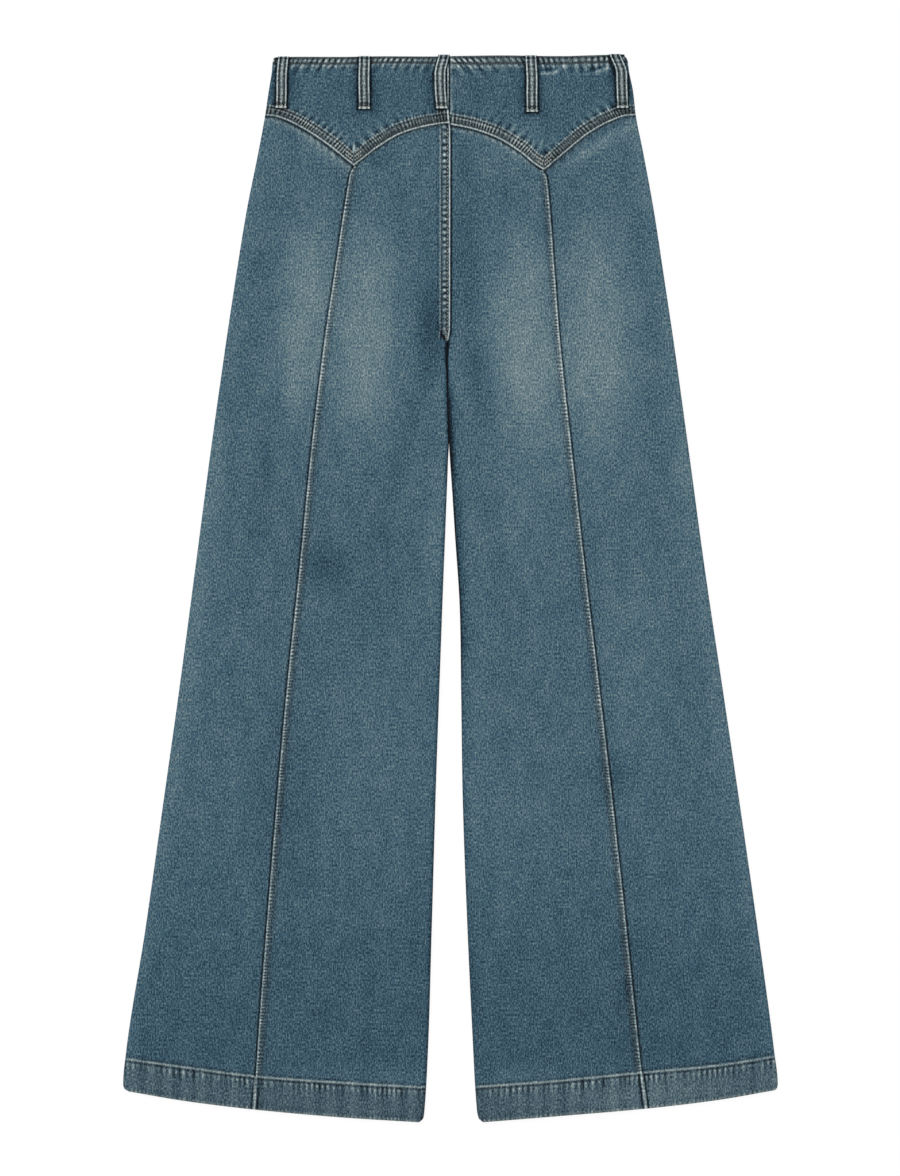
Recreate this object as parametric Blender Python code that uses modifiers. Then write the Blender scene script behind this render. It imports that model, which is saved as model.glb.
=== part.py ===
"""Wide leg jeans lying flat on a surface with their back side up.

Metres, +Z up. The waist points along +Y, the surface is z = 0 and the origin is
under the middle of the garment. Sizes below are in millimetres. "across" runs
along +X from the centre line, and "down" runs from the back waist edge to the hem.
"""

import bmesh
import bpy
import numpy as np

MM = 0.001
COLLECTION = "wide_leg_jeans"

# Cloth and the height at which it lies.
CLOTH = 1.2
SEAM_GAP = 0.3
BACK_TOP = 5.0
SEAM_HEIGHT = 2.5
ORIGIN_DOWN = 530.8

# Seams and hems that stand up from the cloth.
SEAM_SLOPE = 2.5
FELL_BAND = 9.0
FELL_RAISE = 0.8
PANEL_BAND = 6.0
PANEL_RAISE = 0.6
WAIST_BAND = 8.5
WAIST_RAISE = 0.5
HEM_RAISE = 0.6
THICKEST_WALL = CLOTH + FELL_RAISE

# Edges where the back meets the front are rolled over this width.
SIDE_ROLL = 4.0
INSEAM_ROLL = {"left": 4.0, "right": 8.0}
LEGS_JOINED_ABOVE = 273.0
LEGS_APART_BELOW = 290.0
CROTCH_EASE = 0.25
CROTCH_EASE_REACH = 12.0
CROTCH_EASE_SLOPE = 10.0
VERTICAL_SEAM_SHARE = 0.44

# Front.
FRONT_WAIST_DIP = 16.0
FRONT_LOOP_LENGTH = 50.0
FRONT_LOOP_BED = 2.1
BED_SLOPE = 3.5

# Belt loops.
LOOP_WALL = 1.4
LOOP_WIDTH = 12.0
LOOP_CROWN = 0.3
LOOP_ARCH = 1.8
LOOP_TACKED = 4.0
LOOP_END_HEIGHT = 4.1
LOOP_BEND_SIZE = 1.9
LOOP_BEND_CUT = 0.7
LOOP_TURNED_EDGE = 0.8

# Waist button.
BUTTON_RADIUS = 8.5
BUTTON_HEIGHT = 1.45
BUTTON_CLEAR = 0.15
BUTTON_BEVEL = 0.4
BUTTON_DISH_RADIUS = 5.5
BUTTON_FROM_EDGE = 15.0
BUTTON_DOWN = 28.0
BUTTON_BED = 1.95
BUTTON_BED_RADIUS = 9.5
BUTTON_BED_SLOPE = 4.5
BUTTON_SIDES = 32


class Table:
    """A short table with named columns, read between its rows by a smooth curve."""

    def __init__(self, columns, *rows):
        values = np.array(rows, float)
        self.names = columns.split()
        self.columns = dict(zip(self.names, values.T))

    def at(self, column, where):
        """The column's value where the first column has the value `where`."""
        keys = self.columns[self.names[0]]
        values = self.columns[column]
        step = np.diff(keys)
        rise = np.diff(values) / step
        both = rise[:-1] * rise[1:]
        total = np.where(both > 0, rise[:-1] + rise[1:], 1.0)
        slope = np.concatenate([rise[:1], np.where(both > 0, 2 * both / total, 0.0), rise[-1:]])
        where = np.clip(where, keys[0], keys[-1])
        row = np.clip(np.searchsorted(keys, where) - 1, 0, len(keys) - 2)
        share = (where - keys[row]) / step[row]
        back = 1 - share
        start = back * back * ((1 + 2 * share) * values[row] + share * step[row] * slope[row])
        end = (3 - 2 * share) * values[row + 1] - back * step[row] * slope[row + 1]
        return start + share * share * end


# Where the side seams lie, with the rounded corners at the waist and at the hem.
SIDE_SEAMS = Table(
    "down left right",
    (-1.5, -173.5, 174.5),
    (0.5, -176.0, 176.5),
    (4, -177.3, 177.8),
    (13, -178, 179),
    (33, -181, 183),
    (58, -184.7, 185.9),
    (93, -191, 193),
    (153, -203, 204),
    (213, -213, 213),
    (293, -225, 225),
    (393, -239, 239),
    (513, -255, 255),
    (633, -271, 273),
    (753, -288, 291),
    (873, -305, 308),
    (993, -324, 324),
    (1027, -327.4, 327.8),
    (1031.5, -326, 326.5),
    (1033.8, -322.5, 323),
)

# The middle line: the centre back seam, then the middle between the two inseams.
MIDDLE = Table(
    "down across half_gap",
    (0, -1.0, 0.15),
    (52, -1.0, 0.15),
    (75, 0.0, 0.15),
    (270, -0.2, 0.15),
    (290, -3.0, 0.2),
    (385, -1.2, 0.25),
    (413, -0.5, 1.5),
    (473, 0.0, 5),
    (553, 1.0, 9),
    (633, 0.5, 10.5),
    (753, -1.0, 14),
    (873, -0.5, 17.5),
    (993, 0.5, 22.5),
    (1054, 1.0, 26.0),
    (1061, 1.3, 27.4),
    (1065, 1.4, 31.5),
)

# The vertical back seams, from the points of the yokes to the hem.
VERTICAL_SEAMS = Table(
    "down left right",
    (0, -96.7, 93.4),
    (109, -96.7, 93.4),
    (114, -99.6, 93.4),
    (119, -101.0, 96.9),
    (128, -102.7, 98.0),
    (219, -116.6, 104.6),
    (282, -126.0, 109.6),
    (400, -140.2, 122.3),
    (503, -150.4, 133.8),
    (643, -165.0, 150.6),
    (823, -180.4, 171.1),
    (943, -189.8, 183.7),
    (1013, -194.6, 191.3),
    (1052, -197.0, 196.2),
)

# Lower edge of the yokes: outer halves from the side seam to the point, and inner
# halves from the point to the centre back.
YOKE_LINES = Table(
    "share left_outer right_outer left_inner right_inner",
    (0.0, 58.2, 57.9, 108.6, 113.0),
    (0.1, 59.0, 58.5, 101.0, 107.0),
    (0.25, 63.4, 62.5, 90.1, 95.4),
    (0.5, 75.2, 74.7, 76.1, 80.9),
    (0.75, 90.6, 93.1, 69.1, 72.4),
    (0.9, 101.4, 104.8, 66.7, 69.2),
    (1.0, 108.6, 113.0, 65.7, 67.5),
)

# The back waist edge.
WAIST = Table(
    "across down",
    (-178, 0.6),
    (-140, 0.2),
    (-90, 0.0),
    (0, -0.5),
    (90, -0.8),
    (150, -2.0),
    (178, -1.9),
)

# Hem stitching and hem edge, from the side seam (0) to the inseam (1).
HEMS = Table(
    "share left_stitch left_edge right_stitch right_edge",
    (0.0, 1001.9, 1033.8, 997.7, 1033.2),
    (0.2, 1010.3, 1044.2, 1006.3, 1043.4),
    (0.44, 1019.4, 1052.8, 1015.6, 1051.8),
    (0.75, 1026.3, 1061.2, 1024.6, 1059.8),
    (1.0, 1030.4, 1065.3, 1030.0, 1065.1),
)

# Broad soft swells (+) and hollows (-) of the back as it lies.
FOLDS = (
    # across, down, half_width, half_length, rise
    (-118, 215, 62, 110, 0.9),
    (112, 222, 60, 112, 0.9),
    (-26, 235, 20, 70, -0.7),
    (30, 205, 22, 62, -0.35),
    (-170, 330, 26, 120, 0.45),
    (178, 335, 26, 120, 0.45),
    (-112, 505, 44, 62, -0.6),
    (-66, 560, 34, 130, 0.5),
    (84, 520, 36, 130, 0.5),
    (-215, 640, 34, 150, 0.55),
    (214, 620, 36, 150, 0.5),
    (-105, 790, 46, 130, 0.6),
    (92, 770, 40, 130, 0.55),
    (-240, 880, 38, 120, -0.45),
    (238, 900, 38, 120, -0.45),
    (-130, 940, 30, 60, -0.4),
    (124, 945, 32, 60, -0.4),
)

# Belt loops of the back: middle line at the top, at the bend and at the bottom.
LOOP_BEND_DOWN = 17.0
LOOPS = (
    # name, across at top, at bend, at bottom, down of the bottom
    ("belt_loop_side_left", -167.0, -168.8, -169.6, 50.6),
    ("belt_loop_back_left", -86.5, -86.5, -86.5, 52.5),
    ("belt_loop_centre_back", -9.2, -10.8, -9.8, 51.9),
    ("belt_loop_back_right", 80.5, 81.1, 81.8, 55.3),
    ("belt_loop_side_right", 165.8, 171.4, 172.0, 50.6),
)

# Rows of a back loop's arch, as shares of the way between its tacked ends.
LOOP_SHARES = (0, 0.12, 0.24, 0.36, 0.5, 0.64, 0.76, 0.88, 1)

# Columns and rows of the panels' grids. A column is a share of the way across and
# an offset from there; a row is a share of the way down and a shift from there.
# Rows 0 to 1 run from a panel's top to its hem stitching, and 1 to 2 to its edge.
HEM_ROWS = ((1, -1.5), (1, 1), (2, -8), (2, -4), (2, -1.5), (2, 0))
PANEL_ROWS = tuple(
    (along, 0)
    for along in (
        0, 0.05, 0.11, 0.165, 0.2155, 0.2245, 0.2335, 0.27, 0.33,
        0.362, 0.43, 0.5, 0.57, 0.64, 0.71, 0.78, 0.85, 0.93,
    )
) + HEM_ROWS
YOKE_ROWS = (
    (0, 0), (0, 1.8), (0, 4), (0, WAIST_BAND), (0, WAIST_BAND + SEAM_SLOPE), (0.55, 0),
    (1, -FELL_BAND - SEAM_SLOPE), (1, -FELL_BAND), (1, 0),
)
FRONT_ROWS = tuple(
    (0, down)
    for down in (0, 1.8, 4, 8, 12, 16, 20, 24, 28, 50, 54, 110, 180, 257, 265, 274, 310, 368, 397)
) + tuple((along, 0) for along in (0.47, 0.55, 0.63, 0.71, 0.79, 0.87, 0.94)) + HEM_ROWS
SIDE_SHARES = (0.2, 0.4, 0.6, 0.8)
CENTRE_SHARES = (0.28, 0.46, 0.64, 0.8)
FRONT_SHARES = (0.25, 0.72)
FRONT_EDGE_OFFSETS = {"left": (-31, -27, -23, -19, -15, -11, -7), "right": (-12,)}

# A rolled edge from the seam inwards: share of its drop, share of its width, and
# the same place's share of its width where the cloth runs on flat instead.
ROLL = ((1.0, 0.0, 0.0), (0.64, 0.0, 0.25), (0.2, 0.29, 0.5), (0.0, 1.0, 1.0))


def clear_scene():
    """Empties the scene, so that only the garment is in it."""
    for thing in list(bpy.data.objects):
        bpy.data.objects.remove(thing, do_unlink=True)


def ramp(distance, width, slope=SEAM_SLOPE):
    """1 up to `width` away, and 0 from `slope` further on."""
    return np.clip((width + slope - distance) / slope, 0, 1)


def sign_of(side):
    """-1 on the left and 1 on the right."""
    return -1 if side == "left" else 1


def side_edge(side):
    return lambda down: SIDE_SEAMS.at(side, down)


def middle_edge(side):
    def across(down):
        return MIDDLE.at("across", down) + sign_of(side) * MIDDLE.at("half_gap", down)

    return across


def vertical_edge(side, panel):
    """The vertical back seam's edge of the outer (side) or the inner (centre) panel."""
    outwards = sign_of(side) * (1 if panel == "side" else -1)
    return lambda down: VERTICAL_SEAMS.at(side, down) + outwards * SEAM_GAP / 2


def yoke_edge(side, half, lower):
    """The yoke seam as a line over the share of a half: the yoke's edge or the panel's."""
    shift = SEAM_GAP * (0.67 if lower else -0.67)
    return lambda share: YOKE_LINES.at(f"{side}_{half}", share) + shift


def hem_line(side, line, start, stop):
    """A hem line over the share of a panel that spans these shares of the leg."""
    return lambda share: HEMS.at(f"{side}_{line}", start + (stop - start) * share)


def legs_part(down):
    """0 where the two halves are joined, and 1 where each leg is a tube of its own."""
    share = np.clip((down - LEGS_JOINED_ABOVE) / (LEGS_APART_BELOW - LEGS_JOINED_ABOVE), 0, 1)
    return share * share * (3 - 2 * share)


def crotch_ease(down):
    """Extra room between back and front where the seams turn under at the crotch."""
    middle = (LEGS_JOINED_ABOVE + LEGS_APART_BELOW) / 2
    return CROTCH_EASE * ramp(np.abs(down - middle), CROTCH_EASE_REACH, CROTCH_EASE_SLOPE)


def fold_rise(across, down):
    """How far the broad swells lift the back above its even height."""
    total = 0 * across
    for fold_across, fold_down, half_width, half_length, rise in FOLDS:
        reach = ((across - fold_across) / half_width) ** 2 + ((down - fold_down) / half_length) ** 2
        total = total + rise * np.exp(-reach)
    return total


def rolled_columns(across, width, inwards_last=False):
    """Columns over a rolled edge, from the seam inwards, or outwards to the seam."""
    sign = -1 if inwards_last else 1
    columns = [(across, sign * roll * width, sign * flat * width, drop) for drop, roll, flat in ROLL]
    return columns[::-1] if inwards_last else columns


def plain_columns(*places):
    """Columns with the same offset whether the edge is rolled or flat."""
    return [(across, offset, offset, 0.0) for across, offset in places]


class Layout:
    """Lays a grid out between two edges and three lines, and keeps what it measures."""

    def __init__(self, edges, lines, column, row):
        share, rolled, flat, drop = column.T
        along, shift = row.T

        def down_at(place):
            top, stitch, end = (line(place) for line in lines)
            body = (stitch - top) * np.minimum(along, 1)
            return top + body + (end - stitch) * np.maximum(along - 1, 0) + shift

        zero = 0 * share
        last_down = down_at(zero + 1)
        first = edges[0](down_at(zero))
        last = edges[1](last_down)
        roll = np.where(share < 0.5, 1.0, legs_part(last_down))
        inwards = np.sign(last - first)
        self.across = first + (last - first) * share + inwards * (flat + (rolled - flat) * roll)
        self.share = (self.across - first) / (last - first)
        self.down = down_at(self.share)
        self.drop = drop * roll
        self.from_first = np.abs(self.across - first)
        self.from_last = np.abs(self.across - last)
        self.halfway = (first + last) / 2
        self.from_top = self.down - lines[0](self.share)
        self.from_stitch = self.down - lines[1](self.share)

    def points(self, height):
        """World points in millimetres at these heights."""
        return np.stack([self.across, ORIGIN_DOWN - self.down, height], axis=1)


def back_height(layout, raised):
    """Heights of the back's outer face, with its seams raised and its edges rolled."""
    level = BACK_TOP + fold_rise(layout.across, layout.down) + raised
    seam = SEAM_HEIGHT + SEAM_GAP / 2 + crotch_ease(layout.down)
    return level - (level - seam) * layout.drop


def hem_share(layout):
    """1 in the turned-up hem and 0 above it."""
    return ramp(1 - layout.from_stitch, 0)


def back_side_place(side):
    edges = (side_edge(side), vertical_edge(side, "side"))
    lines = (
        yoke_edge(side, "outer", lower=True),
        hem_line(side, "stitch", 0, VERTICAL_SEAM_SHARE),
        hem_line(side, "edge", 0, VERTICAL_SEAM_SHARE),
    )

    def place(column, row):
        layout = Layout(edges, lines, column, row)
        raised = HEM_RAISE * hem_share(layout)
        return layout.points(back_height(layout, raised)), CLOTH + raised

    return place


def back_centre_place(side):
    edges = (vertical_edge(side, "centre"), middle_edge(side))
    lines = (
        yoke_edge(side, "inner", lower=True),
        hem_line(side, "stitch", VERTICAL_SEAM_SHARE, 1),
        hem_line(side, "edge", VERTICAL_SEAM_SHARE, 1),
    )

    def place(column, row):
        layout = Layout(edges, lines, column, row)
        raised = np.maximum(
            PANEL_RAISE * ramp(layout.from_first, PANEL_BAND),
            HEM_RAISE * hem_share(layout),
        )
        if side == "left":
            fell = ramp(layout.from_last, FELL_BAND) * (1 - legs_part(layout.down))
            raised = np.maximum(raised, FELL_RAISE * fell)
        return layout.points(back_height(layout, raised)), CLOTH + raised

    return place


def yoke_raise(from_waist, from_seam):
    """How far the casing at the waist and the lapped seam stand up from the yoke."""
    return np.maximum(
        WAIST_RAISE * ramp(from_waist, WAIST_BAND),
        FELL_RAISE * ramp(from_seam, FELL_BAND),
    )


def yoke_place(side):
    """Lays a yoke out in two halves that meet over its point: shares 0 to 1 and 1 to 2."""
    point = VERTICAL_SEAMS.at(side, 0)

    def point_edge(down):
        return point + 0 * down

    halves = (("outer", side_edge(side), point_edge), ("inner", point_edge, middle_edge(side)))

    def place(column, row):
        inner = column[:, 0] + 0.001 * column[:, 1] > 1
        points = np.empty((len(column), 3))
        wall = np.empty(len(column))
        for index, (half, first, last) in enumerate(halves):
            chosen = inner == bool(index)
            shares = column[chosen] - (index, 0, 0, 0)
            seam = yoke_edge(side, half, lower=False)

            def waist(share, first=first, last=last):
                across = first(0 * share) + (last(0 * share) - first(0 * share)) * share
                return WAIST.at("down", across)

            layout = Layout((first, last), (waist, seam, seam), shares, row[chosen])
            raised = yoke_raise(layout.from_top, -layout.from_stitch)
            points[chosen] = layout.points(back_height(layout, raised))
            wall[chosen] = CLOTH + raised
        return points, wall

    return place


def front_lines(side):
    """Waist, hem stitching and hem edge of a front, over the share from side to middle."""
    first = side_edge(side)
    last = middle_edge(side)

    def waist(share):
        across = first(0 * share) + (last(0 * share) - first(0 * share)) * share
        return WAIST.at("down", across) + FRONT_WAIST_DIP * (1 - (1 - share) ** 2)

    return (waist, hem_line(side, "stitch", 0, 1), hem_line(side, "edge", 0, 1))


def button_across():
    return middle_edge("left")(BUTTON_DOWN) - BUTTON_FROM_EDGE


def front_place(side):
    edges = (side_edge(side), middle_edge(side))
    lines = front_lines(side)

    def place(column, row):
        layout = Layout(edges, lines, column, row)
        loop = np.abs(layout.across - layout.halfway)
        lift = FRONT_LOOP_BED * ramp(loop, LOOP_WIDTH / 2 + 0.5, BED_SLOPE)
        lift = lift * ramp(layout.from_top, FRONT_LOOP_LENGTH, BED_SLOPE + 0.5)
        if side == "left":
            reach = np.hypot(layout.across - button_across(), layout.down - BUTTON_DOWN)
            lift = np.maximum(lift, BUTTON_BED * ramp(reach, BUTTON_BED_RADIUS, BUTTON_BED_SLOPE))
        seam = SEAM_HEIGHT - SEAM_GAP / 2 - crotch_ease(layout.down)
        height = lift + (seam - lift) * layout.drop
        return layout.points(height), CLOTH + HEM_RAISE * hem_share(layout)

    return place


def yoke_top(across, down):
    """Height of the yokes' outer face under a belt loop."""
    side = "left" if across < 0 else "right"
    point = VERTICAL_SEAMS.at(side, 0)
    if abs(across) > abs(point):
        edge = SIDE_SEAMS.at(side, down)
        seam = YOKE_LINES.at(f"{side}_outer", (across - edge) / (point - edge))
    else:
        seam = YOKE_LINES.at(f"{side}_inner", (point - across) / point)
    from_waist = down - WAIST.at("down", across)
    return BACK_TOP + fold_rise(across, down) + yoke_raise(from_waist, seam - down)


def loop_path(top, bend, bottom, end):
    """Middle line of a back loop's outer face, as across, down and height.

    It starts on the yoke's top edge, bends over it, arches over the yoke between
    its two tacked ends, and is turned under at the bottom.
    """
    line = Table("down across", (-2, top), (LOOP_BEND_DOWN, bend), (end, bottom))
    edge = WAIST.at("down", top)
    over = edge - SEAM_GAP - LOOP_WALL
    face = yoke_top(top, edge) + SEAM_GAP + LOOP_WALL
    rows = [
        (over, LOOP_END_HEIGHT),
        (over, face - LOOP_BEND_SIZE),
        (over + LOOP_BEND_CUT, face - LOOP_BEND_SIZE / 5),
        (edge + LOOP_BEND_SIZE / 2, face),
    ]
    first = edge + LOOP_TACKED
    last = end - LOOP_TACKED
    for share in LOOP_SHARES:
        down = first + (last - first) * share
        arch = LOOP_ARCH * np.sin(np.pi * share) ** 0.75 if 0 < share < 1 else 0.0
        rows.append((down, yoke_top(line.at("across", down), down) + SEAM_GAP + LOOP_WALL + arch))
    last_face = yoke_top(bottom, end) + SEAM_GAP + LOOP_WALL
    rows.append((end - LOOP_TURNED_EDGE, last_face))
    rows.append((end, last_face - LOOP_TURNED_EDGE / 4))
    return [(line.at("across", down), down, height) for down, height in rows]


def loop_place(path):
    """Lays a strap's grid along a path: the column's share is its place across the strap."""
    path = np.array(path)

    def place(column, row):
        across = path[row[:, 0].astype(int)]
        half = LOOP_WIDTH / 2
        crown = np.where(np.abs(column[:, 0]) > 0.9, LOOP_CROWN, 0.0)
        points = np.stack(
            [across[:, 0] + column[:, 0] * half, ORIGIN_DOWN - across[:, 1], across[:, 2] - crown],
            axis=1,
        )
        return points, LOOP_WALL - crown

    return place


def front_loop_place(side):
    """Lays a front loop out on its front's own lines, flat on the surface."""
    edges = (side_edge(side), middle_edge(side))
    lines = front_lines(side)

    def place(column, row):
        layout = Layout(edges, lines, column, row)
        return layout.points(0 * layout.down), np.full(len(column), LOOP_WALL)

    return place


def cloth_material(name, colour, roughness=0.86, metallic=0.0):
    material = bpy.data.materials.new(name)
    material.use_nodes = True
    shader = material.node_tree.nodes["Principled BSDF"]
    shader.inputs["Base Color"].default_value = (*colour, 1)
    shader.inputs["Roughness"].default_value = roughness
    shader.inputs["Metallic"].default_value = metallic
    material.diffuse_color = (*colour, 1)
    return material


def add_wall(name, columns, rows, place, colour, faces_up=True):
    """A wall of cloth: an open grid bent onto its outer face and thickened inwards."""
    columns = np.array(columns, float)
    rows = np.array(rows, float)
    grid = bmesh.new()
    bmesh.ops.create_grid(grid, x_segments=len(columns) - 1, y_segments=len(rows) - 1, size=1)
    mesh = bpy.data.meshes.new(name)
    grid.to_mesh(mesh)
    grid.free()
    flat = np.empty(3 * len(mesh.vertices), np.float32)
    mesh.vertices.foreach_get("co", flat)
    flat = flat.reshape(-1, 3)
    across, along = ((flat[:, :2] - flat[:, :2].min(0)) / np.ptp(flat[:, :2], axis=0)).T
    column = columns[np.rint(across * (len(columns) - 1)).astype(int)]
    row = rows[np.rint(along * (len(rows) - 1)).astype(int)]
    points, wall = place(column, row)
    mesh.vertices.foreach_set("co", (points * MM).astype(np.float32).ravel())
    mesh.update()
    normals = sum(face.normal.z for face in mesh.polygons)
    if (normals > 0) != faces_up:
        mesh.flip_normals()
    piece = bpy.data.objects.new(name, mesh)
    bpy.data.collections[COLLECTION].objects.link(piece)
    group = piece.vertex_groups.new(name="wall")
    for index, thickness in enumerate(wall):
        group.add([index], thickness / THICKEST_WALL, "REPLACE")
    solid = piece.modifiers.new("Wall", "SOLIDIFY")
    solid.thickness = THICKEST_WALL * MM
    solid.offset = -1
    solid.use_quality_normals = True
    solid.vertex_group = group.name
    mesh.materials.append(cloth_material(name, colour))
    mesh.shade_smooth()
    mesh.set_sharp_from_angle(angle=np.radians(40))
    return piece


def add_back():
    """The two yokes and the four back panels."""
    for side in ("left", "right"):
        outer = rolled_columns(0, SIDE_ROLL)
        outer += plain_columns(*[(share, 0) for share in SIDE_SHARES], (1, 0))
        inner = plain_columns((0, 0), (0, PANEL_BAND), (0, PANEL_BAND + SEAM_SLOPE))
        inner += plain_columns(*[(share, 0) for share in CENTRE_SHARES])
        if side == "left":
            inner += plain_columns((1, -FELL_BAND - SEAM_SLOPE), (1, -FELL_BAND))
        inner += rolled_columns(1, INSEAM_ROLL[side], inwards_last=True)
        add_wall(f"back_side_{side}", outer, PANEL_ROWS, back_side_place(side), DENIM["side"])
        add_wall(f"back_centre_{side}", inner, PANEL_ROWS, back_centre_place(side), DENIM["centre"])
        both = outer + [(1 + share, rolled, flat, 0.0) for share, rolled, flat, _ in inner[1:]]
        add_wall(f"yoke_{side}", both, YOKE_ROWS, yoke_place(side), DENIM["yoke"])


def add_fronts():
    """The two fronts, whose outer faces lie flat on the surface."""
    for side in ("left", "right"):
        bed = LOOP_WIDTH / 2 + 0.5
        columns = rolled_columns(0, SIDE_ROLL)
        columns += plain_columns((FRONT_SHARES[0], 0))
        columns += plain_columns(*[(0.5, x) for x in (-bed - BED_SLOPE, -bed, bed, bed + BED_SLOPE)])
        columns += plain_columns((FRONT_SHARES[1], 0))
        columns += plain_columns(*[(1, offset) for offset in FRONT_EDGE_OFFSETS[side]])
        columns += rolled_columns(1, SIDE_ROLL, inwards_last=True)
        place = front_place(side)
        add_wall(f"front_{side}", columns, FRONT_ROWS, place, DENIM["front"], faces_up=False)


def add_loops():
    """Seven belt loops: five arch over the yokes, and two lie under the fronts."""
    columns = [(share, 0, 0, 0) for share in (-1, -0.8, 0.8, 1)]
    for name, top, bend, bottom, end in LOOPS:
        path = loop_path(top, bend, bottom, end)
        rows = [(index, 0) for index in range(len(path))]
        add_wall(name, columns, rows, loop_place(path), DENIM["loop"])
    half = LOOP_WIDTH / 2
    columns = plain_columns((0.5, -half), (0.5, 0), (0.5, half))
    third = FRONT_LOOP_LENGTH / 3
    rows = [(0, down) for down in (-SEAM_GAP, third, 2 * third, FRONT_LOOP_LENGTH)]
    for side in ("left", "right"):
        place = front_loop_place(side)
        add_wall(f"belt_loop_front_{side}", columns, rows, place, DENIM["loop"], faces_up=False)


def add_button():
    """The waist button, a turned disc sunk into the left front."""
    profile = bmesh.new()
    low = BUTTON_CLEAR
    high = BUTTON_CLEAR + BUTTON_HEIGHT
    rim = BUTTON_RADIUS
    dish = BUTTON_DISH_RADIUS
    outline = (
        (0, high),
        (rim - BUTTON_BEVEL, high),
        (rim, high - BUTTON_BEVEL),
        (rim, low + BUTTON_BEVEL),
        (rim - BUTTON_BEVEL, low),
        (dish + 2 * BUTTON_BEVEL, low),
        (dish, low + BUTTON_BEVEL),
        (0, low + BUTTON_BEVEL / 2),
    )
    points = [profile.verts.new((radius * MM, 0, height * MM)) for radius, height in outline]
    for start, end in zip(points, points[1:]):
        profile.edges.new((start, end))
    mesh = bpy.data.meshes.new("waist_button")
    profile.to_mesh(mesh)
    profile.free()
    button = bpy.data.objects.new("waist_button", mesh)
    bpy.data.collections[COLLECTION].objects.link(button)
    button.location = (button_across() * MM, (ORIGIN_DOWN - BUTTON_DOWN) * MM, 0)
    turn = button.modifiers.new("Turn", "SCREW")
    turn.steps = BUTTON_SIDES
    turn.render_steps = BUTTON_SIDES
    turn.use_merge_vertices = True
    turn.merge_threshold = 0.00001
    mesh.materials.append(cloth_material("waist_button", METAL, roughness=0.38, metallic=1.0))
    return button


# Colours of the cloth and of the button, as linear values.
DENIM = {
    "yoke": (0.063, 0.112, 0.150),
    "side": (0.070, 0.128, 0.172),
    "centre": (0.078, 0.134, 0.175),
    "front": (0.070, 0.124, 0.165),
    "loop": (0.120, 0.165, 0.190),
}
METAL = (0.30, 0.24, 0.17)


def main():
    clear_scene()
    collection = bpy.data.collections.new(COLLECTION)
    bpy.context.scene.collection.children.link(collection)
    add_back()
    add_fronts()
    add_loops()
    add_button()


main()
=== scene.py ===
"""Wide leg jeans in worn blue denim, lying flat with their back side up.

The garment's solids are loaded as a fixed frame. This add-on dresses them: each
panel, yoke and strap becomes a fine shell of cloth with soft creases, puckered seams,
sewing, weave and wear, on a stage with a camera and soft light.

Lengths in the tables are millimetres. "across" runs along +X from the centre line,
and "down" runs against +Y from the back waist edge towards the hem. A tone is a
step of lightness on the display's scale, where 1 is the way from black to white.
"""

import bmesh
import bpy
import numpy as np
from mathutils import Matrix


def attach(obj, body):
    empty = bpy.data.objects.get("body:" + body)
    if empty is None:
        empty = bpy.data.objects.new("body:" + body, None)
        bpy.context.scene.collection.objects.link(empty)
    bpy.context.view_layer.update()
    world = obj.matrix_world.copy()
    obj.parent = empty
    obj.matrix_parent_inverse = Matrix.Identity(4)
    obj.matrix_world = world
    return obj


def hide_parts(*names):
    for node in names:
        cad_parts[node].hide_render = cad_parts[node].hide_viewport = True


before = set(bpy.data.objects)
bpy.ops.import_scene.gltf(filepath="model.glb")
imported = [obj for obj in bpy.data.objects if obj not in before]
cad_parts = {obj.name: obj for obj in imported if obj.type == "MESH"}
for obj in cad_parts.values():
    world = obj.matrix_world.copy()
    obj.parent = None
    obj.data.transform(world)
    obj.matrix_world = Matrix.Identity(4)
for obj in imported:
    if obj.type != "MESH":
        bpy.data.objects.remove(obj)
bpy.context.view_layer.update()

bl_info = {
    "name": "Wide leg jeans",
    "version": (1, 0, 0),
    "blender": (4, 5, 0),
    "location": "3D View > Sidebar > Jeans",
    "description": "Dresses the solids of a pair of wide leg jeans in worn denim",
    "category": "Object",
}

MM = 0.001
TURN = 2 * np.pi
BODY = "root"
SIDES = ("left", "right")

# ---------------------------------------------------------------- driving sizes

# How the cloth lies, as in the solids.
CLOTH = 1.2
SEAM_GAP = 0.3
YOKE_GAP_SHARE = 0.67
BACK_TOP = 5.0
SEAM_HEIGHT = 2.5
ORIGIN_DOWN = 530.8
SIDE_ROLL = 4.0
INSEAM_ROLL = {"left": 4.0, "right": 8.0}
ROLL_STEPS = 8
ROLL_BULGE = 2.5
LEGS_JOINED_ABOVE = 273.0
LEGS_APART_BELOW = 290.0
CROTCH_EASE = 0.25
CROTCH_EASE_REACH = 12.0
CROTCH_EASE_SLOPE = 10.0
VERTICAL_SEAM_SHARE = 0.44
FELL_END = 282.5
FRONT_WAIST_DIP = 16.0
BED_SLOPE = 3.5

# Belt loops.
LOOP_WALL = 1.4
LOOP_WIDTH = 12.0
LOOP_ARCH = 1.8
LOOP_TACKED = 4.0
LOOP_END_HEIGHT = 4.1
LOOP_BEND_SIZE = 1.9
LOOP_TURNED_EDGE = 0.8
LOOP_TOP_THIN = 0.7
FRONT_LOOP_LENGTH = 50.0
FRONT_LOOP_BED = 2.1

# Waist button.
BUTTON_RADIUS = 8.5
BUTTON_HEIGHT = 1.45
BUTTON_CLEAR = 0.15
BUTTON_FROM_EDGE = 15.0
BUTTON_DOWN = 28.0
BUTTON_BED = 1.95
BUTTON_BED_RADIUS = 9.5
BUTTON_BED_SLOPE = 4.5


def linear(*levels):
    """A colour of display levels from 0 to 255, as linear values."""
    share = np.array(levels) / 255
    return tuple(np.where(share > 0.04045, ((share + 0.055) / 1.055) ** 2.4, share / 12.92))


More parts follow.
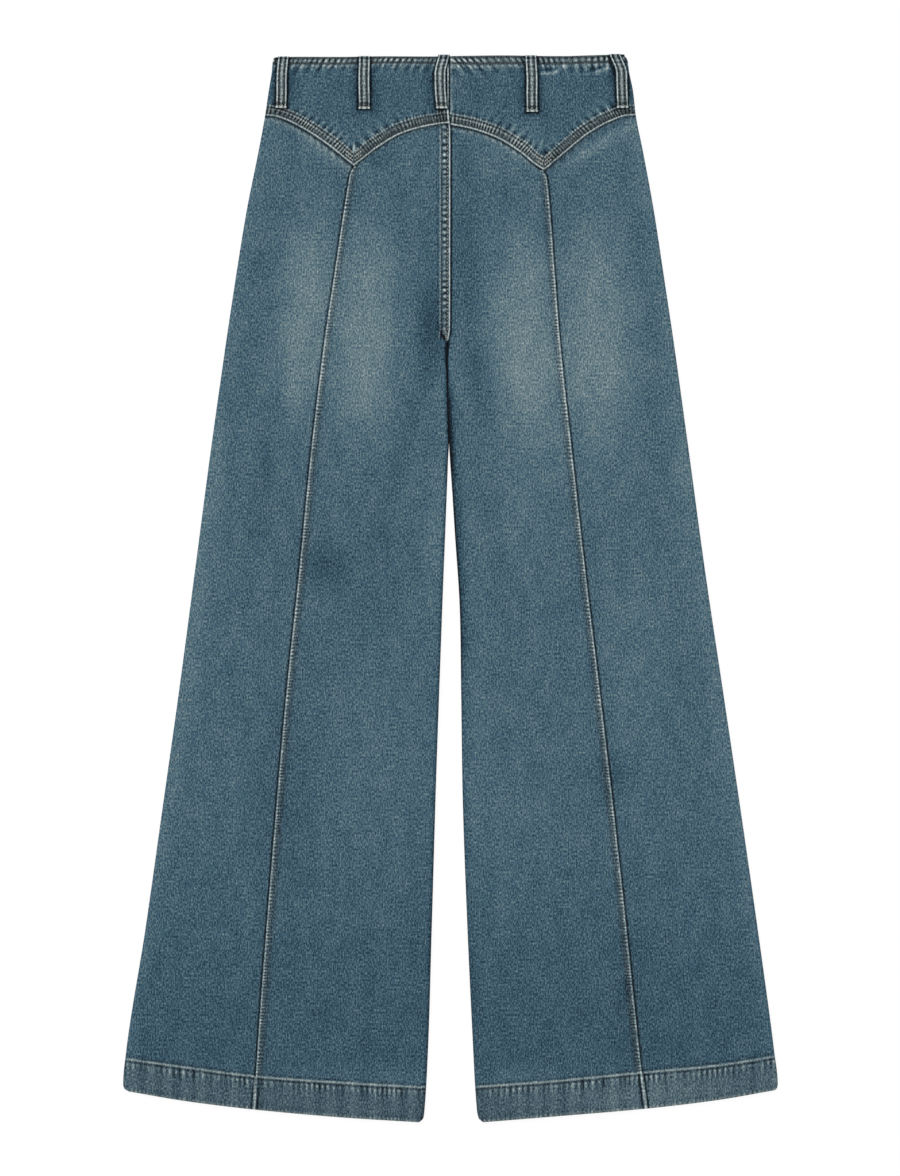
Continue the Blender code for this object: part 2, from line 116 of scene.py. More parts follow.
def number(name, description, default, kind=bpy.props.FloatProperty, **options):
    return kind(name=name, description=description, default=default, **options)


def size(name, description, millimetres):
    return number(name, description, millimetres * MM, min=0, unit="LENGTH", precision=5)


def colour(name, description, *levels):
    kind = bpy.props.FloatVectorProperty
    return number(name, description, linear(*levels), kind, min=0, max=1, subtype="COLOR")


class JeansSizes(bpy.types.PropertyGroup):
    """Sizes of the cloth's grain and of the sewing."""

    column_step: size("Column spacing", "Spacing of the shells' columns at the hem", 1.5)
    row_step: size("Row spacing", "Spacing of the shells' rows where the cloth is plain", 6)
    seam_step: size("Seam spacing", "Spacing of the shells' rows and columns along puckered seams", 1.6)
    pucker: number("Puckers", "How strongly the cloth puckers along its seams", 1, min=0, max=2)
    stitch_pitch: size("Stitch pitch", "Length of one stitch and its gap", 3.3)
    stitch_width: size("Thread width", "Width of the sewing thread", 0.75)
    fleck_width: size("Fleck width", "Width of the worn flecks of the weave", 1.35)
    fleck_length: size("Fleck length", "Length of the worn flecks along the warp", 2.3)
    slub_width: size("Slub width", "Width of the thicker warp yarns", 1.5)
    slub_length: size("Slub length", "Length of the thicker warp yarns", 10)
    twill_pitch: size("Twill pitch", "Spacing of the twill's diagonal lines", 0.9)


class JeansColours(bpy.types.PropertyGroup):
    """Colours of the denim from its darkest to its most worn, and of what is sewn on."""

    # The darkest stop is unworn denim in the depth of a seam. The painted shadow between the legs and
    # under the seams' edges also reaches down to it.
    ink: colour("Unworn denim", "Denim in the depth of a seam", 0, 12, 22)
    deep: colour("Deep denim", "Denim that has hardly faded", 32, 57, 71)
    dark: colour("Dark denim", "Denim of the lower legs", 53, 82, 98)
    blue: colour("Blue denim", "Denim of most of the garment", 65, 96, 114)
    worn: colour("Worn denim", "Denim in the faded places", 97, 121, 127)
    pale: colour("Pale denim", "Denim on rubbed edges", 134, 151, 156)
    white: colour("Bare yarn", "Denim rubbed down to its white core", 200, 208, 208)
    grime: colour("Seam tint", "The brownish grey that seams keep after washing", 92, 98, 96)
    inside: colour("Inside", "The paler inner face of the cloth", 128, 140, 146)
    thread: colour("Pale thread", "Sewing thread of the hems", 188, 191, 182)
    seam_thread: colour("Seam thread", "Sewing thread of the lapped seams", 178, 182, 176)
    dark_thread: colour("Dark thread", "Sewing thread of the waist and the vertical seams", 92, 88, 76)
    metal: colour("Button metal", "Aged metal of the waist button", 150, 133, 108)
    floor: colour("Floor", "The plain surface under the garment", 254, 254, 254)


# Where each worn level of the denim lies on the scale of tones.
DENIM_LEVELS = {
    "ink": 0.09, "deep": 0.235, "dark": 0.33, "blue": 0.385, "worn": 0.482, "pale": 0.604, "white": 0.815,
}
PLAIN_TONE = 0.377


class Table:
    """A short table with named columns, read between its rows by a smooth curve."""

    def __init__(self, columns, *rows):
        self.rows = np.array(rows, float)
        self.names = columns.split()
        self.columns = dict(zip(self.names, self.rows.T))

    def at(self, column, where):
        """The column's value where the first column has the value `where`."""
        keys = self.columns[self.names[0]]
        values = self.columns[column]
        step = np.diff(keys)
        rise = np.diff(values) / step
        both = rise[:-1] * rise[1:]
        total = np.where(both > 0, rise[:-1] + rise[1:], 1.0)
        slope = np.concatenate([rise[:1], np.where(both > 0, 2 * both / total, 0.0), rise[-1:]])
        where = np.clip(where, keys[0], keys[-1])
        row = np.clip(np.searchsorted(keys, where) - 1, 0, len(keys) - 2)
        share = (where - keys[row]) / step[row]
        back = 1 - share
        start = back * back * ((1 + 2 * share) * values[row] + share * step[row] * slope[row])
        end = (3 - 2 * share) * values[row + 1] - back * step[row] * slope[row + 1]
        return start + share * share * end


def read_table(text):
    """A table out of text: its columns' names, and then one row a line."""
    columns, *rows = text.strip().splitlines()
    return Table(columns, *[row.split() for row in rows])


# ------------------------------------------------------------ the garment's cut

SIDE_SEAMS = read_table("""
down left right
-1.5 -174.2 174.2
.5 -176.7 176.2
4 -178 177.5
13 -178.7 178.6
33 -181.9 182.6
58 -185.6 185.5
93 -192 192.5
153 -204 203.5
213 -213.8 212.7
293 -225.8 224.6
393 -239.9 238.4
513 -255.7 254.7
633 -271.6 272.6
753 -288.5 290.4
873 -305.5 307.6
993 -324.4 323.8
1027 -327.6 327.5
1031.5 -326.2 326.2
1033.8 -322.7 322.7
""")
MIDDLE = read_table("""
down across half_gap
0 -1 0
52 -1 0
75 0 0
270 -.2 0
281 -1.6 0
289 -3.2 0
303 -3.5 0
322 -2.9 0
343 -2.9 0
363 -2.4 0
384 -1.5 0
403 -1.5 1
413 -1.3 1.5
433 -1 2.6
473 -.5 4.65
553 .5 8.8
633 -.3 10.9
753 -1.4 13.9
873 -.9 17.9
993 .1 22.6
1054 .2 26.3
1061 .5 27.7
1065 .6 31.8
""")
VERTICAL_SEAMS = read_table("""
down left right
0 -96.7 93.4
109 -96.7 93.4
114 -99.6 93.4
119 -101 95.9
128 -102.7 97.4
219 -116.6 104.6
282 -126 109.6
400 -140.2 122.3
503 -150.4 133.8
643 -165 150.6
823 -180.4 171.1
943 -189.8 183.7
1013 -194.6 191.3
1052 -197 196.2
""")
YOKE_LINES = read_table("""
share left_outer right_outer left_inner right_inner
0 58.2 57.9 108.6 113
.1 59 58.5 101 107
.25 63.4 63 90.1 95.4
.5 75.2 75.3 76.1 80.9
.75 90.6 93.6 69.1 72.4
.9 101.4 105.3 66.7 69.2
1 108.6 113 65.7 67.5
""")
WAIST = read_table("""
across down
-178 -.2
-150 -.8
-110 -.7
-66 -1.3
-18 -1.1
6 -1.6
54 -2.2
90 -1.6
114 -1.5
138 -2.2
178 -3.3
""")
HEMS = read_table("""
share left_stitch left_edge right_stitch right_edge
0 1001.8 1033.9 999.4 1032.8
.2 1010.2 1043.6 1008.9 1042.8
.44 1019.4 1052.1 1015.6 1051.2
.75 1026.3 1060.3 1024.6 1059
1 1030.4 1064.9 1030 1064.9
""")
LOOPS = (
    # name, width, rise above the waist's edge, across at the top, at the bend and at the bottom,
    # down of the bend and of the bottom
    ("belt_loop_side_left", 11.0, 0.6, -167.0, -168.4, -169.5, 17, 50.6),
    ("belt_loop_back_left", 11.8, 0.5, -86.3, -86.3, -86.4, 17, 51.5),
    ("belt_loop_centre_back", 11.8, 1.6, -6.4, -10.7, -8.8, 16, 51.0),
    ("belt_loop_back_right", 11.8, 0.5, 80.5, 81.1, 81.8, 17, 54.4),
    ("belt_loop_side_right", 11.8, 0.6, 164.6, 171.2, 171.8, 17, 50.6),
)

# Broad soft swells (+) and hollows (-), and shorter creases, of the back as it lies.
FOLDS = read_table("""
across down half_width half_length lean rise
-118 215 62 110 0 .9
112 222 60 112 0 .9
-26 235 20 70 0 -.7
30 205 22 62 0 -.35
-170 330 26 120 0 .45
178 335 26 120 0 .45
-112 505 44 62 0 -.6
-66 560 34 130 0 .5
84 520 36 130 0 .5
-215 640 34 150 0 .55
214 620 36 150 0 .5
-105 790 46 130 0 .6
92 770 40 130 0 .55
-240 880 38 120 0 -.45
238 900 38 120 0 -.45
-130 940 30 60 0 -.4
124 945 32 60 0 -.4
-44 385 5 62 -18 -.3
-182 430 7 70 -8 -.25
33 330 6 66 7 -.3
46 480 6 58 8 -.22
-60 640 6 64 -3 .22
118 690 6 70 6 .22
-208 760 6 66 -7 .2
222 560 6 60 8 .2
96 15.3 1.4 8 -84 .4
107.5 11.9 1.4 6 -59 .4
152.5 11.8 1.4 9 -74 .45
100 12.2 1.4 7 -84 -.3
146 11 1.4 6 -80 -.3
""")

# How light the cloth is from the waist down, where nothing else changes it.
TREND = read_table("""
down tone
0 -.022
60 -.02
100 -.012
143 -.02
203 -.024
263 -.014
323 -.01
400 -.012
500 -.014
620 -.018
750 -.022
850 -.042
930 -.062
1000 -.068
1022 -.04
1066 -.012
""")

# Faded (+) and darker (-) places of the back, from wear. The last small rows paint the
# highlights and the shade along the right yoke's creases, spots round the yokes' points,
# painted shade under the centre loop and a painted dark line by the crotch.
FADES = read_table("""
across down half_width half_length lean tone
-146 252 25 92 -5 .1
-85 262 33 92 -1 .104
73 281 34 96 5 .106
147 268 37 102 0 .1
-146 203 40 34 0 .022
-146 325 34 34 0 .026
-72 203 20 34 0 .02
82 205 26 34 0 .032
136 205 22 34 0 .02
80 325 26 34 0 .02
150 325 44 34 0 .02
-88 345 26 46 -2 .03
88 400 46 62 4 .02
160 405 30 60 3 .016
-17 268 16 44 -4 -.062
-24 270 14 42 -4 -.034
-42 372 9 84 -18 -.034
15 173 15 115 0 -.03
31 323 11 62 8 -.036
45 483 10 74 8 -.026
-14 470 10 50 0 .04
-126 506 26 26 0 -.056
-148 482 14 14 0 -.024
-185 423 12 80 -6 -.026
-166 733 36 92 -3 -.034
160 718 16 32 0 -.048
178 933 17 62 -3 -.03
-125 86 24 16 0 .036
65 83 26 18 0 .034
-75 98 22 13 0 -.03
112 103 16 14 0 -.046
143 90 6 48 -59 .095
-244 463 16 120 -8 .018
-262 640 14 110 -8 .02
248 553 14 74 8 .014
272 683 12 30 8 .02
185 590 34 90 0 .028
232 420 14 60 0 .025
60 470 40 60 0 .018
26 640 14 110 0 .018
-70 500 26 60 0 -.022
-222 325 13 46 -6 -.026
-95 560 36 50 0 -.016
-24 860 12 120 -1 -.012
-80 690 44 110 0 .012
56 780 44 110 0 .012
185 1045 40 12 0 .03
180 1036 120 16 0 .026
-250 1025 60 14 0 -.01
97 15.4 1.6 10 -84 .22
108.5 12 1.6 6 -50 .22
99 12.4 1.7 7 -84 -.16
152.5 12.2 1.6 10 -72 .24
144 11.6 1.7 6 -80 -.16
160 19 4 6 -40 -.08
-96.7 91 1.3 5 0 .32
-99.6 91 1.3 5 0 -.13
-93.8 91 1.3 5 0 -.13
91 87 1.4 7 -4 .09
93.5 96 2.2 3.4 0 -.14
96 96 5 6 0 -.04
-8.5 57 4.5 5 0 -.06
-7.8 278 1.4 7 24 -.34
""")

# Tone beside the side seams, and painted shade beside the inseams, by the distance from the edge.
# left and right are the painted shade at each leg's inseam edge, and the shadow is the wider
# painted shadow that the left leg throws on the right one below the crotch.
RIMS = read_table("""
away side left right shadow
0 .01 1 1 1
1.2 .02 .85 .8 .86
2.5 .03 .5 .36 .66
4 .031 .08 .24 .38
6.5 .026 0 .18 .11
9 .02 0 .05 .02
14 .01 0 0 0
22 0 0 0 0
""")

# How wide the painted shadow between the touching legs is on either side from the crotch down,
# and how strong the painted shades on the right leg's edge.
INSEAM_SHADE = read_table("""
down left right edge shadow
276 0 0 0 0
283 .2 .4 0 0
286 1.9 1.6 0 0
293 1.8 1.4 0 0
303 1.4 .8 0 0
323 .9 .8 .04 .05
343 .5 .5 .08 .33
363 .6 .8 .1 .4
375 .7 .9 .12 .43
388 .8 .8 .14 .44
404 .8 .7 .2 .42
422 .4 .5 .28 .24
445 0 .3 .34 .1
590 0 .3 .3 .04
650 0 .1 .1 0
1066 0 0 .07 0
""")

# Painted shade of the cloth beside a belt loop, by the distance from the strap's edge.
LOOP_SHADE = read_table("""
away tone
-1 -.3
0 -.3
.8 -.28
1.6 -.17
2.6 -.075
4.5 -.045
8 -.02
12 0
""")

# ------------------------------------------------------------------------ seams
# How the cloth changes near a seam, by the distance from it. raise is the height
# that the seam's layers add, fine and coarse are the heights of its two puckers,
# tone and grime change its colour. tone lightens the worn edges of the folds and paints
# the shade in the grooves and the shadow under the lapped edges and beside the straps.

WAIST_SEAM = read_table("""
away raise fine coarse tone grime
0 -.25 0 0 .02 .85
.6 .1 .02 0 -.02 .9
1.2 .34 .06 0 -.09 .95
1.9 .44 .14 0 -.1 .9
2.6 .52 .28 .02 .02 .8
3.6 .56 .38 .04 .11 .65
4.6 .52 .36 .04 .08 .6
5.4 .38 .2 .03 -.02 .65
6.2 .18 .07 .03 -.13 .75
6.9 .22 .05 .05 -.07 .7
7.6 .38 .14 .08 .05 .5
8.5 .42 .24 .12 .14 .3
9.4 .34 .2 .16 .09 .2
10.8 .12 .1 .18 0 .1
13 .02 .02 .12 -.01 0
16 0 0 .05 .01 0
22 0 0 0 0 0
""")
LIGHT_LAP = read_table("""
away raise fine coarse tone grime
-10 0 0 0 0 0
-6 0 0 .02 .03 .05
-4 0 0 .06 .08 .2
-2.8 0 0 .12 .08 .3
-1.9 -.05 .04 .12 0 .4
-1.2 -.1 .04 .06 -.17 .5
-.5 -.1 .02 0 -.28 .55
-.1 -.1 0 0 -.28 .6
0 .25 0 0 .08 .4
.5 .62 .06 0 .31 .35
1 .8 .1 0 .37 .35
1.5 .74 .1 0 .17 .55
2 .62 .14 0 -.08 .75
2.7 .54 .26 0 -.14 .8
3.6 .66 .34 .01 -.03 .8
4.6 .76 .36 .02 -.04 .8
5.5 .66 .38 .02 -.06 .75
6.3 .58 .46 .03 .02 .7
7 .64 .48 .04 .11 .65
7.7 .7 .36 .06 .04 .7
8.6 .66 .18 .06 -.14 .75
9.4 .6 .2 .08 -.06 .6
10.3 .44 .32 .14 .12 .35
11.1 .24 .22 .18 .06 .25
12.2 .08 .08 .2 -.07 .15
13.8 0 .02 .17 -.01 .05
17 0 0 .07 .01 0
24 0 0 0 0 0
""")
DARK_LAP = read_table("""
away raise fine coarse tone grime
-10 0 0 0 0 0
-6 0 0 0 -.01 0
-4 0 0 .04 -.02 .1
-2.8 0 0 .08 -.02 .2
-1.8 -.05 .02 .07 -.05 .3
-1 -.1 .02 .02 -.14 .45
-.1 -.1 0 0 -.17 .6
0 .25 0 0 .13 .4
.4 .62 .06 0 .36 .35
.9 .8 .09 0 .37 .35
1.4 .74 .08 0 .17 .6
2 .62 .1 0 -.1 .85
2.8 .54 .16 0 -.16 .9
3.8 .6 .2 0 -.08 .9
5 .74 .22 0 -.06 .9
6 .7 .22 0 -.03 .8
7.2 .6 .3 .02 .06 .7
8.2 .62 .2 .03 -.03 .8
9.1 .66 .14 .06 -.12 .8
10.1 .56 .22 .1 -.02 .5
11 .38 .36 .14 .1 .3
11.9 .18 .24 .18 .05 .2
13.2 .05 .1 .2 -.05 .1
15 0 .02 .13 0 0
18 0 0 .06 .01 0
24 0 0 0 0 0
""")
FOLD_SEAM = read_table("""
away raise fine coarse tone grime
-4.6 0 0 0 0 0
-2.8 0 0 0 0 .05
-2 0 0 0 -.02 .15
-1.3 -.03 0 0 -.13 .2
-.7 -.06 0 0 -.28 .25
-.1 -.1 0 0 -.32 .3
0 .15 0 0 .03 .2
.45 .44 .08 .03 .22 .2
1.1 .6 .18 .05 .26 .25
1.7 .54 .26 .04 .1 .35
2.4 .34 .22 .02 -.01 .45
3.4 .36 .14 .02 -.015 .5
4.4 .4 .09 .02 -.05 .45
5.4 .38 .06 .02 -.07 .35
6.8 .22 .03 0 -.04 .15
8.6 .04 0 0 -.01 .05
11 0 0 0 0 0
""")
HEM_FOLD_SEAM = read_table("""
away raise fine coarse tone grime
-4.5 0 0 0 .02 0
-3.4 0 0 0 0 .2
-2.6 -.1 0 0 -.16 .3
-2 -.06 .02 0 -.3 .3
-1.4 .05 .04 0 -.22 .25
-.8 .2 .04 0 .04 .2
-.2 .35 .06 0 .23 .15
.4 .46 .08 0 .32 .15
1.1 .42 .08 0 .25 .15
1.8 .28 .06 0 .06 .2
2.6 .02 .02 0 -.21 .3
3.4 -.1 0 0 -.3 .4
4.2 -.04 0 0 -.16 .4
5.2 0 0 0 -.04 .4
8 0 0 0 0 .2
""")
FELL_SEAM = read_table("""
away raise fine coarse tone grime
-6 0 0 0 0 0
-3 0 0 0 0 0
-2.3 0 0 0 -.02 .05
-1.6 -.02 0 0 -.14 .1
-1 -.05 0 0 -.34 .15
-.1 -.1 0 0 -.38 .2
0 .2 0 0 -.02 .2
.4 .55 .03 0 .26 .2
.9 .8 .06 0 .52 .2
1.3 .78 .06 0 .36 .25
1.9 .64 .06 0 -.04 .35
2.7 .44 .08 0 -.22 .45
3.5 .5 .14 0 -.2 .5
4.3 .74 .28 0 0 .45
5.4 .84 .38 0 .07 .4
6.6 .82 .34 0 .07 .35
7.5 .7 .16 0 0 .35
8.4 .5 .06 0 -.13 .4
9 .42 .02 0 -.11 .4
9.7 .46 .02 0 .04 .2
10.3 .4 0 0 .12 .1
11.1 .2 0 0 .04 .05
12 0 0 0 -.07 0
13.4 0 0 0 -.05 0
15 0 0 0 0 0
""")
JOIN_SEAM = read_table("""
away raise fine coarse tone grime
-9 0 0 0 0 0
-5 0 .05 0 .01 0
-3.4 0 .05 0 .03 .1
-2.4 0 .04 0 .08 .1
-1.6 0 .02 0 .13 .1
-1 0 0 0 .06 .2
-.5 -.1 0 0 -.2 .3
.1 -.1 0 0 -.3 .3
.6 0 0 0 -.04 .3
1.1 .16 0 0 .36 .2
1.6 .24 0 0 .5 .2
2.1 .22 0 0 .4 .2
2.7 .08 0 0 0 .5
3.6 0 0 0 -.14 .8
5 0 .06 0 -.08 .8
9 0 .08 0 -.04 .8
12 0 .04 0 -.08 .7
13.5 0 0 0 0 0
""")
HEM_SEAM = read_table("""
away raise fine coarse tone grime
-7 0 0 0 0 0
-4.5 0 0 .02 -.02 .05
-3 0 0 .03 -.08 .15
-2.1 -.04 0 .05 -.04 .2
-1.2 -.1 .04 .06 .15 .3
-.4 -.1 .06 .06 .2 .4
.4 .05 .06 .06 .11 .5
1.2 .28 .06 .06 -.09 .55
2.1 .46 .12 .08 -.13 .5
3.2 .56 .19 .08 .02 .45
4.4 .6 .25 .09 .06 .4
6 .6 .2 .09 .01 .38
8.5 .6 .12 .08 0 .36
13 .6 .03 .04 0 .36
22 .6 0 .03 0 .36
30 .6 .02 .04 -.01 .4
36 .6 .04 .04 0 .4
""")
BRIM_SEAM = read_table("""
away raise fine coarse tone grime
0 -.8 0 0 .1 .85
.5 -.36 .08 0 .1 .85
1.2 -.12 .12 0 .08 .75
2.2 -.02 .1 0 .05 .55
3.6 0 .05 0 -.02 .3
6 0 0 0 -.015 .1
8 0 0 0 0 0
""")
STRAP_EDGE = read_table("""
away raise fine coarse tone grime
0 .05 .08 0 .21 .65
.7 .04 .08 0 .18 .65
1.4 -.05 .1 0 .03 .8
2.1 -.18 .12 0 -.17 .9
2.8 -.22 .1 0 -.25 .9
3.3 -.12 .1 0 -.2 .85
3.9 .02 .08 0 .04 .6
4.3 .04 .06 0 .28 .35
4.7 0 .05 0 .4 .35
5.1 -.08 .03 0 .28 .4
5.5 -.22 0 0 -.06 .5
6 -.5 0 0 -.3 .6
""")
STRAP_END = read_table("""
away raise fine coarse tone grime
0 0 0 0 .05 .3
.5 0 0 0 .32 .3
1.3 0 0 0 .36 .3
1.8 0 0 0 .06 .6
2.4 0 .06 0 -.2 .9
3.6 0 .16 0 -.2 .9
5.2 0 .16 0 -.18 .9
6.4 0 .06 0 -.12 .6
8 0 0 0 0 0
""")
STRAP_TOP = read_table("""
away raise fine coarse tone grime
0 0 0 0 .02 .4
3 0 0 0 .02 .4
4.4 0 0 0 -.13 .6
5.8 0 0 0 -.1 .5
8 0 0 0 0 0
""")

# Each seam's puckers: the pitch of the fine and the coarse ones, and where they start.
PITCHES = {
    "waist": (WAIST_SEAM, 5.3, 11.0, 0.4),
    "light_lap": (LIGHT_LAP, 3.3, 7.7, 1.3),
    "dark_lap": (DARK_LAP, 3.0, 8.6, 2.9),
    "fold": (FOLD_SEAM, 3.4, 26.0, 2.2),
    "hem_fold": (HEM_FOLD_SEAM, 4.6, 26.0, 2.2),
    "fell": (FELL_SEAM, 5.8, 20.0, 3.1),
    "join": (JOIN_SEAM, 4.0, 20.0, 0.0),
    "hem": (HEM_SEAM, 5.6, 18.0, 4.7),
    "brim": (BRIM_SEAM, 4.3, 20.0, 5.2),
    "strap_edge": (STRAP_EDGE, 4.1, 20.0, 0.9),
    "strap_end": (STRAP_END, 4.0, 20.0, 0.0),
    "strap_top": (STRAP_TOP, 4.0, 20.0, 0.0),
}
# The casing from side to side: its depth as a share of the seam's table, and the lean of
# its puckers. On the right they follow each other less closely.
CASING = read_table("""
across depth lean
-178 1.06 .5
-125 1.08 .5
-50 .99 .5
-10 1.04 .4
6 1.16 -.7
35 1.28 -.7
70 1.2 -.5
110 1.14 -.2
178 1.1 0
""")
CASING_PITCH = {"left": 1.0, "right": 0.86}
# A mark's value far from its seam, the largest that marks keep, and how square the fades are.
FAR = 60.0
MARK_LIMIT = 8 * FAR
FADE_SHARPNESS = 1.35


def ripple(place, pitch, seed, sine=np.sin):
    """An uneven wave along a seam: 1 on its highest ridges and -1 in its troughs."""
    drift = sine(place / (2.3 * pitch) + seed) + 0.7 * sine(place / (3.9 * pitch) + 2.1 * seed)
    swell = 0.70 + 0.34 * sine(place / (1.9 * pitch) + 1.7 * seed)
    return swell * sine((place + 0.36 * pitch * drift) * (TURN / pitch))


def seam_height(seam, away, along, fine=True):
    """The even height that a seam adds to the cloth, and the height of its puckers."""
    table, fine_pitch, coarse_pitch, seed = PITCHES[seam]
    pucker = table.at("coarse", away) * ripple(along, coarse_pitch, seed + 1)
    if fine:
        pucker = pucker + table.at("fine", away) * ripple(along, fine_pitch, seed)
    return table.at("raise", away), pucker


# ---------------------------------------------------------- laying the cloth out


def ramp(distance, width, slope):
    """1 up to `width` away, and 0 from `slope` further on."""
    return np.clip((width + slope - distance) / slope, 0, 1)


def sign_of(side):
    """-1 on the left and 1 on the right."""
    return -1 if side == "left" else 1


def side_edge(side):
    return lambda down: SIDE_SEAMS.at(side, down)


def middle_edge(side):
    def across(down):
        return MIDDLE.at("across", down) + sign_of(side) * MIDDLE.at("half_gap", down)

    return across


def vertical_edge(side, panel):
    """The vertical back seam's edge of the outer (side) or the inner (centre) panel."""
    outwards = sign_of(side) * (1 if panel == "side" else -1)
    return lambda down: VERTICAL_SEAMS.at(side, down) + outwards * SEAM_GAP / 2


def yoke_edge(side, half, lower):
    """The yoke seam over the share of a half: the yoke's own edge or the panel's."""
    shift = YOKE_GAP_SHARE * (SEAM_GAP if lower else -SEAM_GAP)
    return lambda share: YOKE_LINES.at(f"{side}_{half}", share) + shift


def hem_line(side, line, start, stop):
    """A hem line over the share of a panel that spans these shares of the leg."""
    return lambda share: HEMS.at(f"{side}_{line}", start + (stop - start) * share)


def leg_lines(top, side, start=0, stop=1):
    """The three lines of a piece that spans these shares of the leg: its top and its hem's."""
    return (top, hem_line(side, "stitch", start, stop), hem_line(side, "edge", start, stop))


def waist_line(first, last, dip=0.0):
    """The waist's edge over the share from one edge to the next, lower by a dip at the last."""

    def line(share):
        across = first(0 * share) + (last(0 * share) - first(0 * share)) * share
        return WAIST.at("down", across) + dip * (1 - (1 - share) ** 2)

    return line


def legs_part(down):
    """0 where the two halves are joined, and 1 where each leg is a tube of its own."""
    share = np.clip((down - LEGS_JOINED_ABOVE) / (LEGS_APART_BELOW - LEGS_JOINED_ABOVE), 0, 1)
    return share * share * (3 - 2 * share)


def crotch_ease(down):
    """Extra room between back and front where the seams turn under at the crotch."""
    middle = (LEGS_JOINED_ABOVE + LEGS_APART_BELOW) / 2
    return CROTCH_EASE * ramp(np.abs(down - middle), CROTCH_EASE_REACH, CROTCH_EASE_SLOPE)


def spots(rows, across, down, power):
    """The sum of soft leaning ellipses, each a row of a table that ends in its amount."""
    total = 0 * across
    for spot_across, spot_down, half_width, half_length, lean, amount in rows:
        cosine, sine = np.cos(np.radians(lean)), np.sin(np.radians(lean))
        aside, along = across - spot_across, down - spot_down
        width = (aside * cosine - along * sine) / half_width
        length = (aside * sine + along * cosine) / half_length
        total = total + amount * np.exp(-((width**2 + length**2) ** power))
    return total


def rolled_columns(edge, width, inwards_last=False):
    """Columns over a rolled edge, from the seam inwards, or outwards to the seam."""
    angles = np.linspace(0, np.pi / 2, ROLL_STEPS + 1)
    offsets = 1 - np.cos(angles) ** (2 / ROLL_BULGE)
    drops = 1 - np.sin(angles) ** (2 / ROLL_BULGE)
    sign = -1 if inwards_last else 1
    flats = np.linspace(0, 1, ROLL_STEPS + 1)
    rows = zip(sign * offsets * width, sign * flats * width, drops)
    columns = [(edge, rolled, flat, drop) for rolled, flat, drop in rows]
    return columns[::-1] if inwards_last else columns


def plain_columns(edge, *offsets):
    """Columns at these offsets from an edge, whether that is rolled or flat."""
    return [(edge, offset, offset, 0.0) for offset in offsets]


def between(start, stop, count, first=0):
    """Evenly spaced (share, offset) from `start` after one edge to `stop` before the next."""
    shares = np.arange(1, count) / count
    return [(first + at, start * (1 - at) - stop * at) for at in shares]


def columns_between(start, stop, count, first=0):
    return [(at, offset, offset, 0.0) for at, offset in between(start, stop, count, first)]


def lengths_along(path):
    """Each point's distance from the path's start."""
    steps = np.linalg.norm(np.diff(path, axis=0), axis=1)
    return np.concatenate([[0], np.cumsum(steps)])


# Distances of the rows and columns that lie near a seam or an edge.
NEAR_WAIST = (
    0, 0.3, 0.7, 1.2, 1.7, 2.3, 3, 3.8, 4.6, 5.3, 6, 6.6, 7.2, 7.9, 8.7, 9.6, 10.5, 11.5, 12.5, 13.6,
    14.7, 16, 17.5,
)
NEAR_LAP = (0, 0.3, 0.6, 1, 1.5, 2, 2.6, 3.2, 3.8, 4.5, 5.3, 6.1, 6.9, 7.7, 8.5, 9.3, 10.2, 11.2, 12.4, 14)
BELOW_LAP = (0, 0.4, 0.9, 1.5, 2.2, 3, 4, 5.4, 7)
NEAR_FOLD = (0, 0.3, 0.6, 1, 1.4, 1.9, 2.4, 2.9, 3.5, 4.3, 5.2, 6.3, 7.5, 9)
BESIDE_FOLD = (0, 0.4, 1, 1.8, 3, 4.6)
NEAR_FELL = (
    0, 0.3, 0.6, 1, 1.4, 1.9, 2.3, 2.7, 3.2, 3.8, 4.5, 5.3, 6.1, 6.9, 7.6, 8.3, 8.9, 9.6, 10.3, 11.1,
    12, 13.2,
)
ABOVE_HEM = (8, 6, 4.4, 3.2, 2.2, 1.5, 0.9, 0.4)
BELOW_HEM = (0, 0.5, 1, 1.6, 2.3, 3, 3.8, 4.6)
NEAR_BRIM = (2.4, 1.6, 0.9, 0.45, 0.2, 0)
FELL_SHARE = 0.29


class Layout:
    """Lays a grid out between two edges and three lines, and keeps what it measures."""

    def __init__(self, edges, lines, column, row):
        share, rolled, flat, drop = column.T
        along, shift = row.T

        def down_at(place):
            top, stitch, end = (line(place) for line in lines)
            body = (stitch - top) * np.minimum(along, 1)
            return top + body + (end - stitch) * np.maximum(along - 1, 0) + shift

        zero = 0 * share
        last_down = down_at(zero + 1)
        first = edges[0](down_at(zero))
        last = edges[1](last_down)
        roll = np.where(share < 0.5, 1.0, legs_part(last_down))
        inwards = np.sign(last - first)
        self.lines = lines
        self.width = np.abs(last - first)
        self.across = first + (last - first) * share + inwards * (flat + (rolled - flat) * roll)
        self.share = np.clip((self.across - first) / (last - first), 0, 1)
        self.down = down_at(self.share)
        self.drop = drop * roll
        self.from_first = np.abs(self.across - first)
        self.from_last = np.abs(self.across - last)
        self.halfway = (first + last) / 2
        self.from_top, self.from_stitch, self.from_end = (
            self.down - line(self.share) for line in lines
        )

    def slant(self, line):
        """The angle by which one of the lines slants down as the share grows."""
        step = 0.01
        low, high = np.clip(self.share - step, 0, 1), np.clip(self.share + step, 0, 1)
        return np.arctan2(line(high) - line(low), self.width * (high - low))

    def points(self, height):
        """World points in millimetres at these heights."""
        return np.stack([self.across, ORIGIN_DOWN - self.down, height], axis=1)


def fold_rise(across, down):
    """How far the broad swells and the creases lift the back above its even height."""
    return spots(FOLDS.rows, across, down, 1)


def fade(across, down):
    """Tone of the cloth away from its seams: washing and wear, with the painted highlights and shade of
    its small creases.
    """
    return TREND.at("tone", down) + spots(FADES.rows, across, down, FADE_SHARPNESS)


